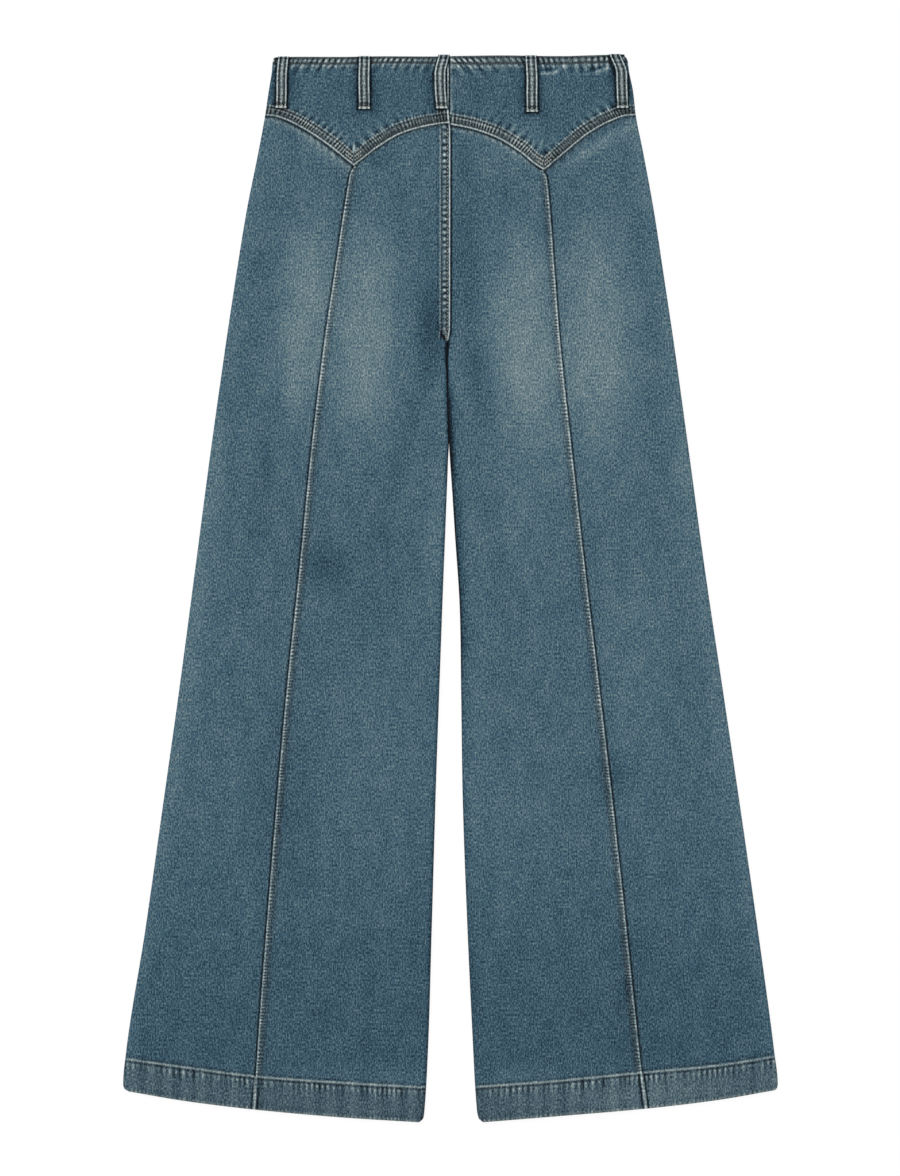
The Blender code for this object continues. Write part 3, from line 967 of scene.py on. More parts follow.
def back_height(layout, raised):
    """Heights of the back's outer face, with its seams raised and its edges rolled."""
    level = BACK_TOP + fold_rise(layout.across, layout.down) + raised
    seam = SEAM_HEIGHT + SEAM_GAP / 2 + crotch_ease(layout.down)
    return level - (level - seam) * layout.drop


def stack_seams(seams, pucker_share):
    """Joins seams' heights: the highest even one, and all the puckers."""
    evens, puckers = zip(*seams)
    lowest = np.minimum.reduce([np.minimum(even, 0) for even in evens])
    highest = np.maximum.reduce([np.maximum(even, 0) for even in evens])
    return highest + lowest + pucker_share * sum(puckers)


def dressed(points, wall, marks):
    """What a place function gives: points, walls, and the marks that its material reads."""
    return points, wall, {name: np.clip(values, -MARK_LIMIT, MARK_LIMIT) for name, values in marks.items()}


def below_lap(layout):
    """Distance below the yoke seam, square to it, as a negative number."""
    return -layout.from_top * np.cos(layout.slant(layout.lines[0]))


# Which halves of the yokes have the lighter sewing, and which the darker.
LAPS = {
    ("left", "outer"): "light_lap",
    ("left", "inner"): "dark_lap",
    ("right", "outer"): "dark_lap",
    ("right", "inner"): "light_lap",
}
# Their widths, as shares of those in the seams' tables.
LAP_WIDTHS = {
    ("left", "outer"): 0.95,
    ("left", "inner"): 0.97,
    ("right", "outer"): 0.90,
    ("right", "inner"): 1.07,
}


def panel_marks(layout, side, half, from_vertical):
    """What a back panel's points know of the seams that both kinds of panel meet."""
    in_hem = layout.from_stitch > 0
    return {
        LAPS[side, half]: below_lap(layout),
        "fold": np.where(in_hem, -FAR, from_vertical),
        "hem_fold": np.where(in_hem, from_vertical, -FAR),
        "hem": layout.from_stitch,
        "brim": -layout.from_end,
        "along": layout.across,
    }


def panel_heights(layout, marks):
    """Heights that the same seams add to a back panel."""
    seams = [seam_height(seam, marks[seam], layout.across) for seam in marks if seam in PITCHES]
    seams[1] = seam_height("fold", marks["fold"], layout.down, fine=False)
    return seams


def back_side_place(side, sizes):
    edges = (side_edge(side), vertical_edge(side, "side"))
    lines = leg_lines(yoke_edge(side, "outer", lower=True), side, stop=VERTICAL_SEAM_SHARE)

    def place(column, row):
        layout = Layout(edges, lines, column, row)
        marks = panel_marks(layout, side, "outer", -layout.from_last)
        raised = stack_seams(panel_heights(layout, marks), sizes.pucker)
        marks["fade"] = fade(layout.across, layout.down) + RIMS.at("side", layout.from_first)
        return dressed(layout.points(back_height(layout, raised)), CLOTH + raised, marks)

    return place


# How dark the painted shadow between the touching legs is, and how strong the soft painted shade beside
# the left leg's inseam.
INSEAM_DARK = 0.62
INSEAM_SOFT = 0.11


def inseam_shade(layout, side):
    """How much painted shade darkens a leg beside its inseam: the painted shadow between the touching
    legs, and on the right leg the painted shade of its edge and the shadow of the left leg.
    """
    part = legs_part(layout.down)
    shade = INSEAM_SOFT * part * RIMS.at("left", layout.from_last)
    if side == "right":
        edge, shadow = (INSEAM_SHADE.at(name, layout.down) for name in ("edge", "shadow"))
        shade = edge * RIMS.at("right", layout.from_last)
        shade = np.maximum(shade, shadow * RIMS.at("shadow", layout.from_last))
    dark = INSEAM_DARK * np.clip(0.5 + INSEAM_SHADE.at(side, layout.down) - layout.from_last, 0, 1)
    return np.maximum(dark * part, shade)


def back_centre_place(side, sizes):
    edges = (vertical_edge(side, "centre"), middle_edge(side))
    lines = leg_lines(yoke_edge(side, "inner", lower=True), side, start=VERTICAL_SEAM_SHARE)

    def place(column, row):
        layout = Layout(edges, lines, column, row)
        part = legs_part(layout.down)
        marks = panel_marks(layout, side, "inner", layout.from_first)
        seams = panel_heights(layout, marks)
        away = -sign_of(side) * layout.from_last
        marks["fell"] = away - sign_of(side) * FAR * (layout.down > FELL_END)
        seams.append([height * (1 - part) for height in seam_height("fell", away, layout.down)])
        raised = stack_seams(seams, sizes.pucker)
        marks["fade"] = fade(layout.across, layout.down) - inseam_shade(layout, side)
        return dressed(layout.points(back_height(layout, raised)), CLOTH + raised, marks)

    return place


def loop_shade(across, down, side):
    """Painted shade that darkens a yoke under and beside its belt loops."""
    total = 0 * across
    for _, width, _, top, bend, bottom, bend_down, end in LOOPS:
        if (top < 0) != (side == "left"):
            continue
        middle = np.interp(down, (0, bend_down, end), (top, bend, bottom))
        aside = np.maximum(np.abs(across - middle) - width / 2, down - end)
        total = np.minimum(total, LOOP_SHADE.at("tone", aside))
    return total


# How far on the puckers of a yoke's inner half start, so that they don't repeat the outer's.
HALVES_APART = 200


def yoke_place(side, sizes):
    """Lays a yoke out in two halves that meet over its point: shares 0 to 1 and 1 to 2."""
    point = VERTICAL_SEAMS.at(side, 0)

    def point_edge(down):
        return point + 0 * down

    halves = (("outer", side_edge(side), point_edge), ("inner", point_edge, middle_edge(side)))

    def place(column, row):
        inner = column[:, 0] + 0.001 * column[:, 1] > 1
        points = np.empty((len(column), 3))
        wall = np.empty(len(column))
        names = ("waist", "light_lap", "dark_lap", "join", "fade", "along", "casing")
        marks = {name: np.full(len(column), FAR) for name in names}
        for index, (half, first, last) in enumerate(halves):
            chosen = inner == bool(index)
            seam = yoke_edge(side, half, lower=False)
            lines = (waist_line(first, last), seam, seam)
            layout = Layout((first, last), lines, column[chosen] - (index, 0, 0, 0), row[chosen])
            slant = layout.slant(seam)
            lap = LAPS[side, half]
            lean, depth = (CASING.at(name, layout.across) for name in ("lean", "depth"))
            own = {
                "waist": layout.from_top / depth,
                "casing": CASING_PITCH[side] * layout.across + lean * layout.from_top,
                lap: -layout.from_stitch * np.cos(slant) / LAP_WIDTHS[side, half],
                "join": -sign_of(side) * layout.from_last if index else FAR + 0 * layout.across,
                "along": along_lap(layout, seam, slant) + index * HALVES_APART,
            }
            seams = [
                seam_height("waist", own["waist"], own["casing"]),
                seam_height(lap, own[lap], own["along"]),
                seam_height("join", own["join"], layout.down),
            ]
            raised = stack_seams(seams, sizes.pucker)
            own["fade"] = fade(layout.across, layout.down) + loop_shade(layout.across, layout.down, side)
            points[chosen] = layout.points(back_height(layout, raised))
            wall[chosen] = CLOTH + raised
            for name, values in own.items():
                marks[name][chosen] = values
        return dressed(points, wall, marks)

    return place


def along_lap(layout, line, slant):
    """Distance along a slanting seam of the place on it that is nearest."""
    shares = np.linspace(0, 1, 60)
    lengths = lengths_along(np.column_stack([shares * layout.width.mean(), line(shares)]))
    return np.interp(layout.share, shares, lengths) + layout.from_stitch * np.sin(slant)


def front_lines(side):
    """Waist, hem stitching and hem edge of a front, over the share from side to middle."""
    return leg_lines(waist_line(side_edge(side), middle_edge(side), FRONT_WAIST_DIP), side)


def button_across():
    return middle_edge("left")(BUTTON_DOWN) - BUTTON_FROM_EDGE


# Depth of the grooves that sewing presses into the flat underside of the fronts.
GROOVE_DEPTH = 0.4
GROOVE_WIDTH = 1.3
WAIST_STITCH = 6.4
HEM_STITCH = -0.3


def groove(distance):
    return GROOVE_DEPTH * np.exp(-((distance / GROOVE_WIDTH) ** 2))


def front_place(side, sizes):
    edges = (side_edge(side), middle_edge(side))
    lines = front_lines(side)

    def place(column, row):
        layout = Layout(edges, lines, column, row)
        loop = np.abs(layout.across - layout.halfway)
        bed = ramp(loop, LOOP_WIDTH / 2 + 0.5, BED_SLOPE)
        bed = FRONT_LOOP_BED * bed * ramp(layout.from_top, FRONT_LOOP_LENGTH, BED_SLOPE + 0.5)
        if side == "left":
            reach = np.hypot(layout.across - button_across(), layout.down - BUTTON_DOWN)
            bed = np.maximum(bed, BUTTON_BED * ramp(reach, BUTTON_BED_RADIUS, BUTTON_BED_SLOPE))
        waist, hem = layout.from_top - WAIST_STITCH, layout.from_stitch - HEM_STITCH
        grooves = np.maximum(groove(waist), groove(hem))
        lift = np.maximum(bed, grooves)
        seam = SEAM_HEIGHT - SEAM_GAP / 2 - crotch_ease(layout.down)
        height = lift + (seam - lift) * layout.drop
        part = legs_part(layout.down)
        marks = {
            "waist": layout.from_top,
            "hem": layout.from_stitch,
            "brim": -layout.from_end,
            "join": -FAR * part - layout.from_last,
            "along": layout.across,
            "casing": layout.across,
        }
        rim = RIMS.at("side", layout.from_first) - inseam_shade(layout, "left")
        marks["fade"] = fade(-layout.across, layout.down) + rim
        wall = CLOTH + HEM_SEAM.at("raise", layout.from_stitch) - grooves
        return dressed(layout.points(height), wall, marks)

    return place


# --------------------------------------------------------------------- meshes


def linked(name, data):
    """A new object in the scene."""
    made = bpy.data.objects.new(name, data)
    bpy.context.scene.collection.objects.link(made)
    return made


def piece_from(name, mesh):
    """A new object of the garment that rides on its body."""
    piece = linked(name, mesh)
    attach(piece, BODY)
    return piece


# The angle from which an edge is sharp, and the thinnest wall as a share of the thickest.
SHARP_ANGLE = np.radians(50)
THINNEST = 0.05


def cloth_piece(name, columns, rows, place, materials, faces_up):
    """A shell of cloth: a fine grid bent onto its outer face and thickened inwards."""
    columns = np.array(columns, float)
    rows = np.array(rows, float)
    grid = bmesh.new()
    bmesh.ops.create_grid(grid, x_segments=len(columns) - 1, y_segments=len(rows) - 1, size=1)
    mesh = bpy.data.meshes.new(name)
    grid.to_mesh(mesh)
    grid.free()
    flat = np.empty(3 * len(mesh.vertices), np.float32)
    mesh.vertices.foreach_get("co", flat)
    flat = flat.reshape(-1, 3)
    across, along = ((flat[:, :2] - flat[:, :2].min(0)) / np.ptp(flat[:, :2], axis=0)).T
    column = columns[np.rint(across * (len(columns) - 1)).astype(int)]
    row = rows[np.rint(along * (len(rows) - 1)).astype(int)]
    points, wall, marks = place(column, row)
    mesh.vertices.foreach_set("co", (points * MM).astype(np.float32).ravel())
    for mark, values in marks.items():
        attribute = mesh.attributes.new(mark, "FLOAT", "POINT")
        attribute.data.foreach_set("value", np.asarray(values, np.float32))
    mesh.update()
    if (sum(face.normal.z for face in mesh.polygons) > 0) != faces_up:
        mesh.flip_normals()
    for material in materials:
        mesh.materials.append(material)
    piece = piece_from(name, mesh)
    thickest = wall.max()
    group = piece.vertex_groups.new(name="wall")
    for index, thickness in enumerate(wall / thickest):
        group.add([index], max(thickness, THINNEST), "REPLACE")
    solid = piece.modifiers.new("Wall", "SOLIDIFY")
    solid.thickness = thickest * MM
    solid.offset = -1
    solid.use_quality_normals = True
    solid.vertex_group = group.name
    solid.material_offset = len(materials) - 1
    made = bpy.data.meshes.new_from_object(piece.evaluated_get(bpy.context.evaluated_depsgraph_get()))
    piece.modifiers.clear()
    piece.data = made
    made.name = name
    made.shade_smooth()
    made.set_sharp_from_angle(angle=SHARP_ANGLE)
    return piece


def add_cloth(node, columns, rows, place, materials, faces_up=True):
    """A node's piece of cloth, which takes the place of the solid it was cut to and lies on; that solid is
    hidden.
    """
    piece = cloth_piece(f"{node}_cloth", columns, rows, place, materials, faces_up)
    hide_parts(node)


def sampled(place, columns, rows):
    """Points of a path over a piece, which its columns and rows give."""
    count = max(len(columns), len(rows))
    column = np.broadcast_to(np.array(columns, float), (count, 4))
    row = np.broadcast_to(np.array(rows, float), (count, 2))
    return place(column, row)[0]


def stitch_shape():
    """One stitch: a rounded length of thread, 1 long, 1 wide and 1 high."""
    ball = bmesh.new()
    bmesh.ops.create_uvsphere(ball, u_segments=6, v_segments=5, radius=0.5)
    ball.verts.ensure_lookup_table()
    points = np.array([vertex.co.zxy for vertex in ball.verts])
    faces = [[vertex.index for vertex in face.verts] for face in ball.faces]
    ball.free()
    return points, faces


def stitches_along(path, up, pitch, length, width, sink):
    """Stitches laid end to end along a path, as one list of points and one of faces."""
    shape, faces = stitch_shape()
    reach = lengths_along(path)
    count = max(int(reach[-1] / pitch), 1)
    middles = (np.arange(count) + 0.5) * reach[-1] / count

    def at(where):
        return np.stack([np.interp(where, reach, path[:, axis]) for axis in range(3)], axis=1)

    half = length * pitch / 2
    start, stop = at(middles - half), at(middles + half)
    ahead = stop - start
    ahead /= np.linalg.norm(ahead, axis=1)[:, None]
    aside = np.cross(np.array([0, 0, up]), ahead)
    aside /= np.linalg.norm(aside, axis=1)[:, None]
    above = np.cross(ahead, aside)
    centre = at(middles) - sink * above
    scaled = shape * (2 * half, width, width * 0.8)
    points = (
        centre[:, None]
        + scaled[None, :, :1] * ahead[:, None]
        + scaled[None, :, 1:2] * aside[:, None]
        + scaled[None, :, 2:] * above[:, None]
    ).reshape(-1, 3)
    joined = [[index + k * len(shape) for index in face] for k in range(count) for face in faces]
    return points, joined


def stitched(path, sizes, pitch=1.0, width=1.0, length=0.66, sink=0.0, up=1):
    """Stitches along a path, by shares of the usual pitch and width."""
    pitch = pitch * sizes.stitch_pitch / MM
    return stitches_along(path, up, pitch, length, width * sizes.stitch_width / MM, sink)


def stitching_piece(name, kind, rows):
    """Rows of stitches in one kind of thread, joined into one piece."""
    points, faces, start = [], [], 0
    for row_points, row_faces in rows:
        points.append(row_points)
        faces += [[index + start for index in face] for face in row_faces]
        start += len(row_points)
    mesh = bpy.data.meshes.new(name)
    mesh.from_pydata((np.concatenate(points) * MM).tolist(), [], faces)
    mesh.materials.append(thread(kind))
    mesh.shade_smooth()
    piece_from(name, mesh)


# -------------------------------------------------------------------- shaders


def arithmetic(operation, swapped=False):
    """A method that joins a value with another one or with a number."""

    def joined(self, other):
        return self.shader.maths(operation, *((other, self) if swapped else (self, other)))

    return joined


class Value:
    """A shader socket that takes part in Python arithmetic."""

    def __init__(self, shader, socket):
        self.shader = shader
        self.socket = socket

    __add__ = __radd__ = arithmetic("ADD")
    __mul__ = __rmul__ = arithmetic("MULTIPLY")
    __sub__ = arithmetic("SUBTRACT")
    __rsub__ = arithmetic("SUBTRACT", swapped=True)
    __truediv__ = arithmetic("DIVIDE")


class Shader:
    """Builds one material out of Python expressions."""

    def __init__(self, name):
        self.material = bpy.data.materials.new(name)
        self.material.use_nodes = True
        self.tree = self.material.node_tree
        self.tree.nodes.clear()

    def node(self, kind, settings=None, values=None, output=0):
        """Adds a node: its settings first, then its sockets' values or links."""
        made = self.tree.nodes.new(kind)
        for name, setting in (settings or {}).items():
            if name == "stops":
                self.set_stops(made.color_ramp, setting)
            else:
                setattr(made, name, setting)
        for name, value in (values or {}).items():
            if isinstance(value, Value):
                self.tree.links.new(value.socket, made.inputs[name])
            else:
                made.inputs[name].default_value = value
        return Value(self, made.outputs[output]) if made.outputs else None

    def set_stops(self, color_ramp, stops):
        """A ramp's stops, each a position and a colour of four numbers."""
        elements = color_ramp.elements
        while len(elements) < len(stops):
            elements.new(1.0)
        for element, (position, shade) in zip(elements, stops):
            element.position = position
            element.color = shade

    def maths(self, operation, *values, kind="ShaderNodeMath"):
        return self.node(kind, {"operation": operation}, dict(enumerate(values)))

    def parts(self, kind, values):
        """All the outputs of a node, by their names."""
        sockets = self.node(kind, {}, values).socket.node.outputs
        return {socket.name: Value(self, socket) for socket in sockets}

    def place(self):
        return self.node("ShaderNodeTexCoord", output="Object")

    def sine(self, value):
        return self.maths("SINE", value)

    def clipped(self, value, low=0.0, high=1.0):
        return self.node("ShaderNodeClamp", {}, {"Value": value, "Min": low, "Max": high})

    def mark(self, name):
        """The mark that a piece's points carry under this name."""
        return self.node("ShaderNodeAttribute", {"attribute_name": name}, output="Fac")

    def noise(self, place, width, length, detail=0.0):
        """Noise in flecks of this width and of this length along the warp, from 0 to 1."""
        stretched = self.maths("MULTIPLY", place, (1 / width, 1 / length, 0), kind="ShaderNodeVectorMath")
        values = {"Vector": stretched, "Scale": 1.0, "Detail": detail, "Roughness": 0.5}
        return self.node("ShaderNodeTexNoise", {"noise_dimensions": "2D"}, values)

    def mix(self, factor, first, second):
        """A colour between two colours."""
        return self.node("ShaderNodeMix", {"data_type": "RGBA"}, {0: factor, 6: first, 7: second}, 2)

    def bump(self, strength, distance, height):
        values = {"Strength": strength, "Distance": distance * MM, "Height": height}
        return self.node("ShaderNodeBump", {}, values)

    def finish(self, **values):
        """Ends the material in a Principled shader with these sockets."""
        named = {name.replace("_", " "): value for name, value in values.items()}
        shader = self.node("ShaderNodeBsdfPrincipled", {}, named)
        self.node("ShaderNodeOutputMaterial", {}, {"Surface": shader})
        return self.material


def seam_stops(table):
    """A seam's table as a ramp: its tone, fine, coarse and grime in the four channels."""
    away = table.columns["away"]
    places = (away - away[0]) / (away[-1] - away[0])
    tone, fine, coarse, grime = (table.columns[name] for name in ("tone", "fine", "coarse", "grime"))
    return [
        (float(place), (float(shade) + 0.5, float(small), float(large), float(dirt)))
        for place, shade, small, large, dirt in zip(places, tone, fine, coarse, grime)
    ]


# How much lighter a pucker's ridge is than its trough, for each millimetre of height.
RIDGE_TONE = 0.8
# How much the flecks, the slubs, the clouds and the twill's lines change the tone.
FLECK_TONE = 0.36
SLUB_TONE = 0.13
CLOUD_TONE = 0.09
TWILL_TONE = 0.02


def seam_look(shader, seam, along):
    """The tone and the grime that a seam gives to the cloth round it."""
    table, fine_pitch, coarse_pitch, seed = PITCHES[seam]
    away = table.columns["away"]
    position = (shader.mark(seam) - float(away[0])) * float(1 / (away[-1] - away[0]))
    stops = {"stops": seam_stops(table)}
    ramped = shader.node("ShaderNodeValToRGB", stops, {"Fac": position})
    dirt = Value(shader, ramped.socket.node.outputs["Alpha"])
    parts = shader.parts("ShaderNodeSeparateColor", {"Color": ramped})
    tone = parts["Red"] - 0.5
    fine = parts["Green"] * ripple(along, fine_pitch, seed, shader.sine)
    coarse = parts["Blue"] * ripple(along, coarse_pitch, seed + 1, shader.sine)
    return tone + (fine + coarse) * RIDGE_TONE, dirt


# Shares of red, green and blue in how bright a colour is, and of the tint in a tinted tone.
BRIGHTNESS = (0.2126, 0.7152, 0.0722)
TINT_SHARE = 0.75


def denim_stops(colours, tint=None):
    """The denim's colours as a ramp over tones, or the same tones in a tint."""
    stops = []
    for name, level in DENIM_LEVELS.items():
        shade = np.array(getattr(colours, name))
        if tint is not None:
            tinted = np.array(tint) * (shade @ BRIGHTNESS) / (np.array(tint) @ BRIGHTNESS)
            shade = (1 - TINT_SHARE) * shade + TINT_SHARE * tinted
        stops.append((level, (*[float(part) for part in shade], 1.0)))
    return stops


def denim_material(name, seams, sizes, colours):
    """Worn denim: `seams` names each seam and which way its puckers run."""
    shader = Shader(name)
    place = shader.place()
    axes = shader.parts("ShaderNodeSeparateXYZ", {"Vector": place})
    across = axes["X"] * (1 / MM)
    down = ORIGIN_DOWN - axes["Y"] * (1 / MM)
    runs = {"across": across, "down": down, "along": shader.mark("along"), "casing": shader.mark("casing")}
    fleck = shader.noise(place, sizes.fleck_width, sizes.fleck_length) - 0.5
    slub = shader.noise(place, sizes.slub_width, sizes.slub_length, 1.0) - 0.5
    weft = shader.noise(place, sizes.slub_length, sizes.slub_width, 1.0) - 0.5
    cloud = shader.noise(place, 15 * MM, 34 * MM, 2.0) - 0.5
    twill = shader.sine((across + down * 0.9) * (TURN * MM / sizes.twill_pitch))
    tone = fleck * FLECK_TONE + slub * SLUB_TONE + weft * (SLUB_TONE / 2) + cloud * CLOUD_TONE
    # The mark adds the wear, and the painted shade beside the belt loops and the inseams.
    tone = tone + twill * TWILL_TONE + shader.mark("fade") + PLAIN_TONE
    dirt = None
    blot = 0.55 + shader.noise(place, 4 * MM, 5 * MM, 1.0) * 0.9
    for seam, run in seams:
        seam_tone, seam_dirt = seam_look(shader, seam, runs[run])
        tone = tone + seam_tone * blot
        dirt = seam_dirt if dirt is None else shader.maths("MAXIMUM", dirt, seam_dirt)
    blue, brown = (
        shader.node("ShaderNodeValToRGB", {"stops": denim_stops(colours, tint)}, {"Fac": tone})
        for tint in (None, colours.grime)
    )
    base = shader.mix(shader.clipped(dirt + cloud * 0.2), blue, brown)
    relief = fleck * 0.5 + slub * 0.25 + twill * 0.12
    return shader.finish(
        Base_Color=base,
        Roughness=0.86 - fleck * 0.2,
        Normal=shader.bump(0.5, 0.15, relief),
        Specular_IOR_Level=0.2,
        Sheen_Weight=0.05,
        Sheen_Roughness=0.5,
    )


def inside_material(sizes, colours):
    """The paler inner face of the denim."""
    shader = Shader("denim_inside")
    place = shader.place()
    fleck = shader.noise(place, sizes.fleck_width, sizes.fleck_length, 1.0)
    base = shader.mix(fleck, (*colours.inside, 1), (*colours.blue, 1))
    return shader.finish(Base_Color=base, Roughness=0.9, Specular_IOR_Level=0.2)


def thread_material(name, shade):
    """Twisted sewing thread, a little uneven in colour."""
    shader = Shader(name)
    place = shader.place()
    uneven = shader.noise(place, 3 * MM, 3 * MM, 1.0)
    darker = tuple(0.55 * part for part in shade)
    base = shader.mix(shader.clipped(uneven * 2.4 - 0.7), (*darker, 1), (*shade, 1))
    twist = shader.noise(place, 0.25 * MM, 0.6 * MM)
    bump = shader.bump(0.6, 0.1, twist)
    return shader.finish(Base_Color=base, Roughness=0.7, Normal=bump, Specular_IOR_Level=0.3)


def metal_material(colours):
    """Aged metal of the waist button."""
    shader = Shader("button_metal")
    place = shader.place()
    patina = shader.noise(place, 2.2 * MM, 2.2 * MM, 3.0)
    dull = tuple(0.4 * part for part in colours.metal)
    base = shader.mix(patina, (*colours.metal, 1), (*dull, 1))
    scratches = shader.noise(place, 0.3 * MM, 1.8 * MM, 2.0)
    bump = shader.bump(0.3, 0.05, scratches)
    return shader.finish(Base_Color=base, Metallic=1.0, Roughness=0.3 + patina * 0.3, Normal=bump)


# The seams that each kind of cloth piece meets, and which way their puckers run.
PANEL_SEAMS = (("fold", "down"), ("hem_fold", "down"), ("hem", "across"), ("brim", "across"))
YOKE_SEAMS = (("waist", "casing"), ("light_lap", "along"), ("dark_lap", "along"), ("join", "down"))
FRONT_SEAMS = (("waist", "casing"), ("hem", "across"), ("brim", "across"), ("join", "down"))
STRAP_SEAMS = (("strap_edge", "down"), ("strap_end", "across"), ("strap_top", "across"))


def settings():
    """The sizes and the colours as the scene holds them."""
    scene = bpy.context.scene
    return scene.jeans_sizes, scene.jeans_colours


def material_once(name, make):
    """A material by its name, made the first time it is asked for."""
    return bpy.data.materials.get(name) or make()


def denim(name, seams):
    """The two materials of a cloth piece: its outer face and its inner one."""
    sizes, colours = settings()
    outer = material_once(f"denim_{name}", lambda: denim_material(f"denim_{name}", seams, sizes, colours))
    return outer, material_once("denim_inside", lambda: inside_material(sizes, colours))


def thread(kind):
    """Thread of one of the three kinds."""
    _, colours = settings()
    return material_once(kind, lambda: thread_material(kind, getattr(colours, kind)))


# --------------------------------------------------------------- the operators


def hem_rows(count):
    """Rows round the stitching of a hem, and from there to its edge."""
    rows = [(1, -above) for above in ABOVE_HEM] + [(1, below) for below in BELOW_HEM]
    rows += between(BELOW_HEM[-1], NEAR_BRIM[0], count, first=1)
    return rows + [(2, -above) for above in NEAR_BRIM]


# The rough sizes of the panels in metres, by which their rows and columns are counted.
PANEL_LENGTH = 0.95
OUTER_WIDTH = 0.118
INNER_WIDTH = 0.155


def panel_rows(dense_share, sizes):
    """Rows of a back panel: close at its top, along its dense share and at its hem."""
    top, bottom = BELOW_LAP[-1], ABOVE_HEM[0]
    close, wide = (step / PANEL_LENGTH for step in (sizes.seam_step, sizes.row_step))
    shares = np.concatenate([np.arange(close, dense_share, close), np.arange(dense_share, 1, wide)])
    rows = [(0, below) for below in BELOW_LAP]
    rows += [(at, top * (1 - at) - bottom * at) for at in shares[shares > 0]]
    return rows + hem_rows(18)


def outer_columns(sizes):
    """Columns from the side seam to the vertical seam."""
    count = int(OUTER_WIDTH / sizes.column_step)
    columns = rolled_columns(0, SIDE_ROLL) + columns_between(SIDE_ROLL, BESIDE_FOLD[-1], count)
    return columns + plain_columns(1, *[-away for away in BESIDE_FOLD[::-1]])


def inner_columns(side, sizes):
    """Columns from the vertical seam to the middle."""
    fell = [away for away in NEAR_FELL if away > INSEAM_ROLL[side]] if side == "left" else []
    start = fell[-1] if fell else INSEAM_ROLL[side]
    count = int((INNER_WIDTH - start * MM) / sizes.column_step)
    columns = plain_columns(0, *NEAR_FOLD) + columns_between(NEAR_FOLD[-1], start, count)
    columns += plain_columns(1, *[-away for away in fell[::-1]])
    return columns + rolled_columns(1, INSEAM_ROLL[side], inwards_last=True)


class JEANS_OT_back_panels(bpy.types.Operator):
    """Make the four panels of the back"""

    bl_idname = "jeans.back_panels"
    bl_label = "Back panels"

    def execute(self, context):
        sizes, _ = settings()
        for side in SIDES:
            lap = LAPS[side, "outer"]
            materials = denim(f"side_{lap}", ((lap, "across"), *PANEL_SEAMS))
            columns, rows = outer_columns(sizes), panel_rows(0.0, sizes)
            place = back_side_place(side, sizes)
            add_cloth(f"back_side_{side}", columns, rows, place, materials)
            lap = LAPS[side, "inner"]
            materials = denim(f"centre_{lap}", ((lap, "across"), ("fell", "down"), *PANEL_SEAMS))
            columns = inner_columns(side, sizes)
            rows = panel_rows(FELL_SHARE if side == "left" else 0.0, sizes)
            place = back_centre_place(side, sizes)
            add_cloth(f"back_centre_{side}", columns, rows, place, materials)
        return {"FINISHED"}


def yoke_rows():
    """Rows of a yoke, close along its casing and its lapped seam."""
    rows = [(0, below) for below in NEAR_WAIST]
    rows += between(NEAR_WAIST[-1], NEAR_LAP[-1], 36)
    return rows + [(1, -above) for above in NEAR_LAP[::-1]]


def yoke_columns():
    """Columns of a yoke: its outer half, and then its inner half from share 1 to 2."""
    outer = rolled_columns(0, SIDE_ROLL) + columns_between(SIDE_ROLL, 0, 130)
    inner = plain_columns(0, 0.1) + columns_between(0.1, 7, 130)
    inner += plain_columns(1, -7, -6, -5, -4.2, -3.5, -2.9, -2.4, -1.9, -1.4, -1, -0.6, -0.3, 0)
    return outer + plain_columns(1, 0) + [(1 + at, rolled, flat, drop) for at, rolled, flat, drop in inner]


class JEANS_OT_yokes(bpy.types.Operator):
    """Make the two pointed back yokes with their stitched casing"""

    bl_idname = "jeans.yokes"
    bl_label = "Yokes"

    def execute(self, context):
        sizes, _ = settings()
        for side in SIDES:
            materials, place = denim("yoke", YOKE_SEAMS), yoke_place(side, sizes)
            columns, rows = yoke_columns(), yoke_rows()
            add_cloth(f"yoke_{side}", columns, rows, place, materials)
        return {"FINISHED"}


# How far down from the waist a front's rows lie close, and how far in round the button.
CLOSE_UNTIL = 56
CLOSE_IN = 32.0


def front_rows(sizes):
    """Rows of a front: close at its waist, round the crotch and at its hem."""
    count = int(PANEL_LENGTH / (1.3 * sizes.row_step))
    rows = [(0, below) for below in NEAR_WAIST]
    rows += [(0, float(down)) for down in np.arange(NEAR_WAIST[-1] + 1.2, CLOSE_UNTIL, 1.3)]
    return rows + between(CLOSE_UNTIL, ABOVE_HEM[0], count) + hem_rows(8)


def front_columns(side):
    """Columns of a front: close round the bed of its loop and of the button."""
    bed = LOOP_WIDTH / 2 + 0.5 + BED_SLOPE
    columns = rolled_columns(0, SIDE_ROLL)
    columns += [(at / 2, flat, flat, 0.0) for at, flat in between(SIDE_ROLL, bed, 26)]
    columns += plain_columns(0.5, *np.linspace(-bed, bed, 21))
    stop = CLOSE_IN if side == "left" else SIDE_ROLL
    columns += [(0.5 + at / 2, flat, flat, 0.0) for at, flat in between(bed, stop, 26)]
    if side == "left":
        columns += plain_columns(1, *[-float(away) for away in np.arange(CLOSE_IN, SIDE_ROLL, -1.1)])
    return columns + rolled_columns(1, SIDE_ROLL, inwards_last=True)


class JEANS_OT_fronts(bpy.types.Operator):
    """Make the two plain fronts, which lie on the surface"""

    bl_idname = "jeans.fronts"
    bl_label = "Fronts"

    def execute(self, context):
        sizes, _ = settings()
        for side in SIDES:
            materials, place = denim("front", FRONT_SEAMS), front_place(side, sizes)
            columns, rows = front_columns(side), front_rows(sizes)
            add_cloth(f"front_{side}", columns, rows, place, materials, faces_up=False)
        return {"FINISHED"}


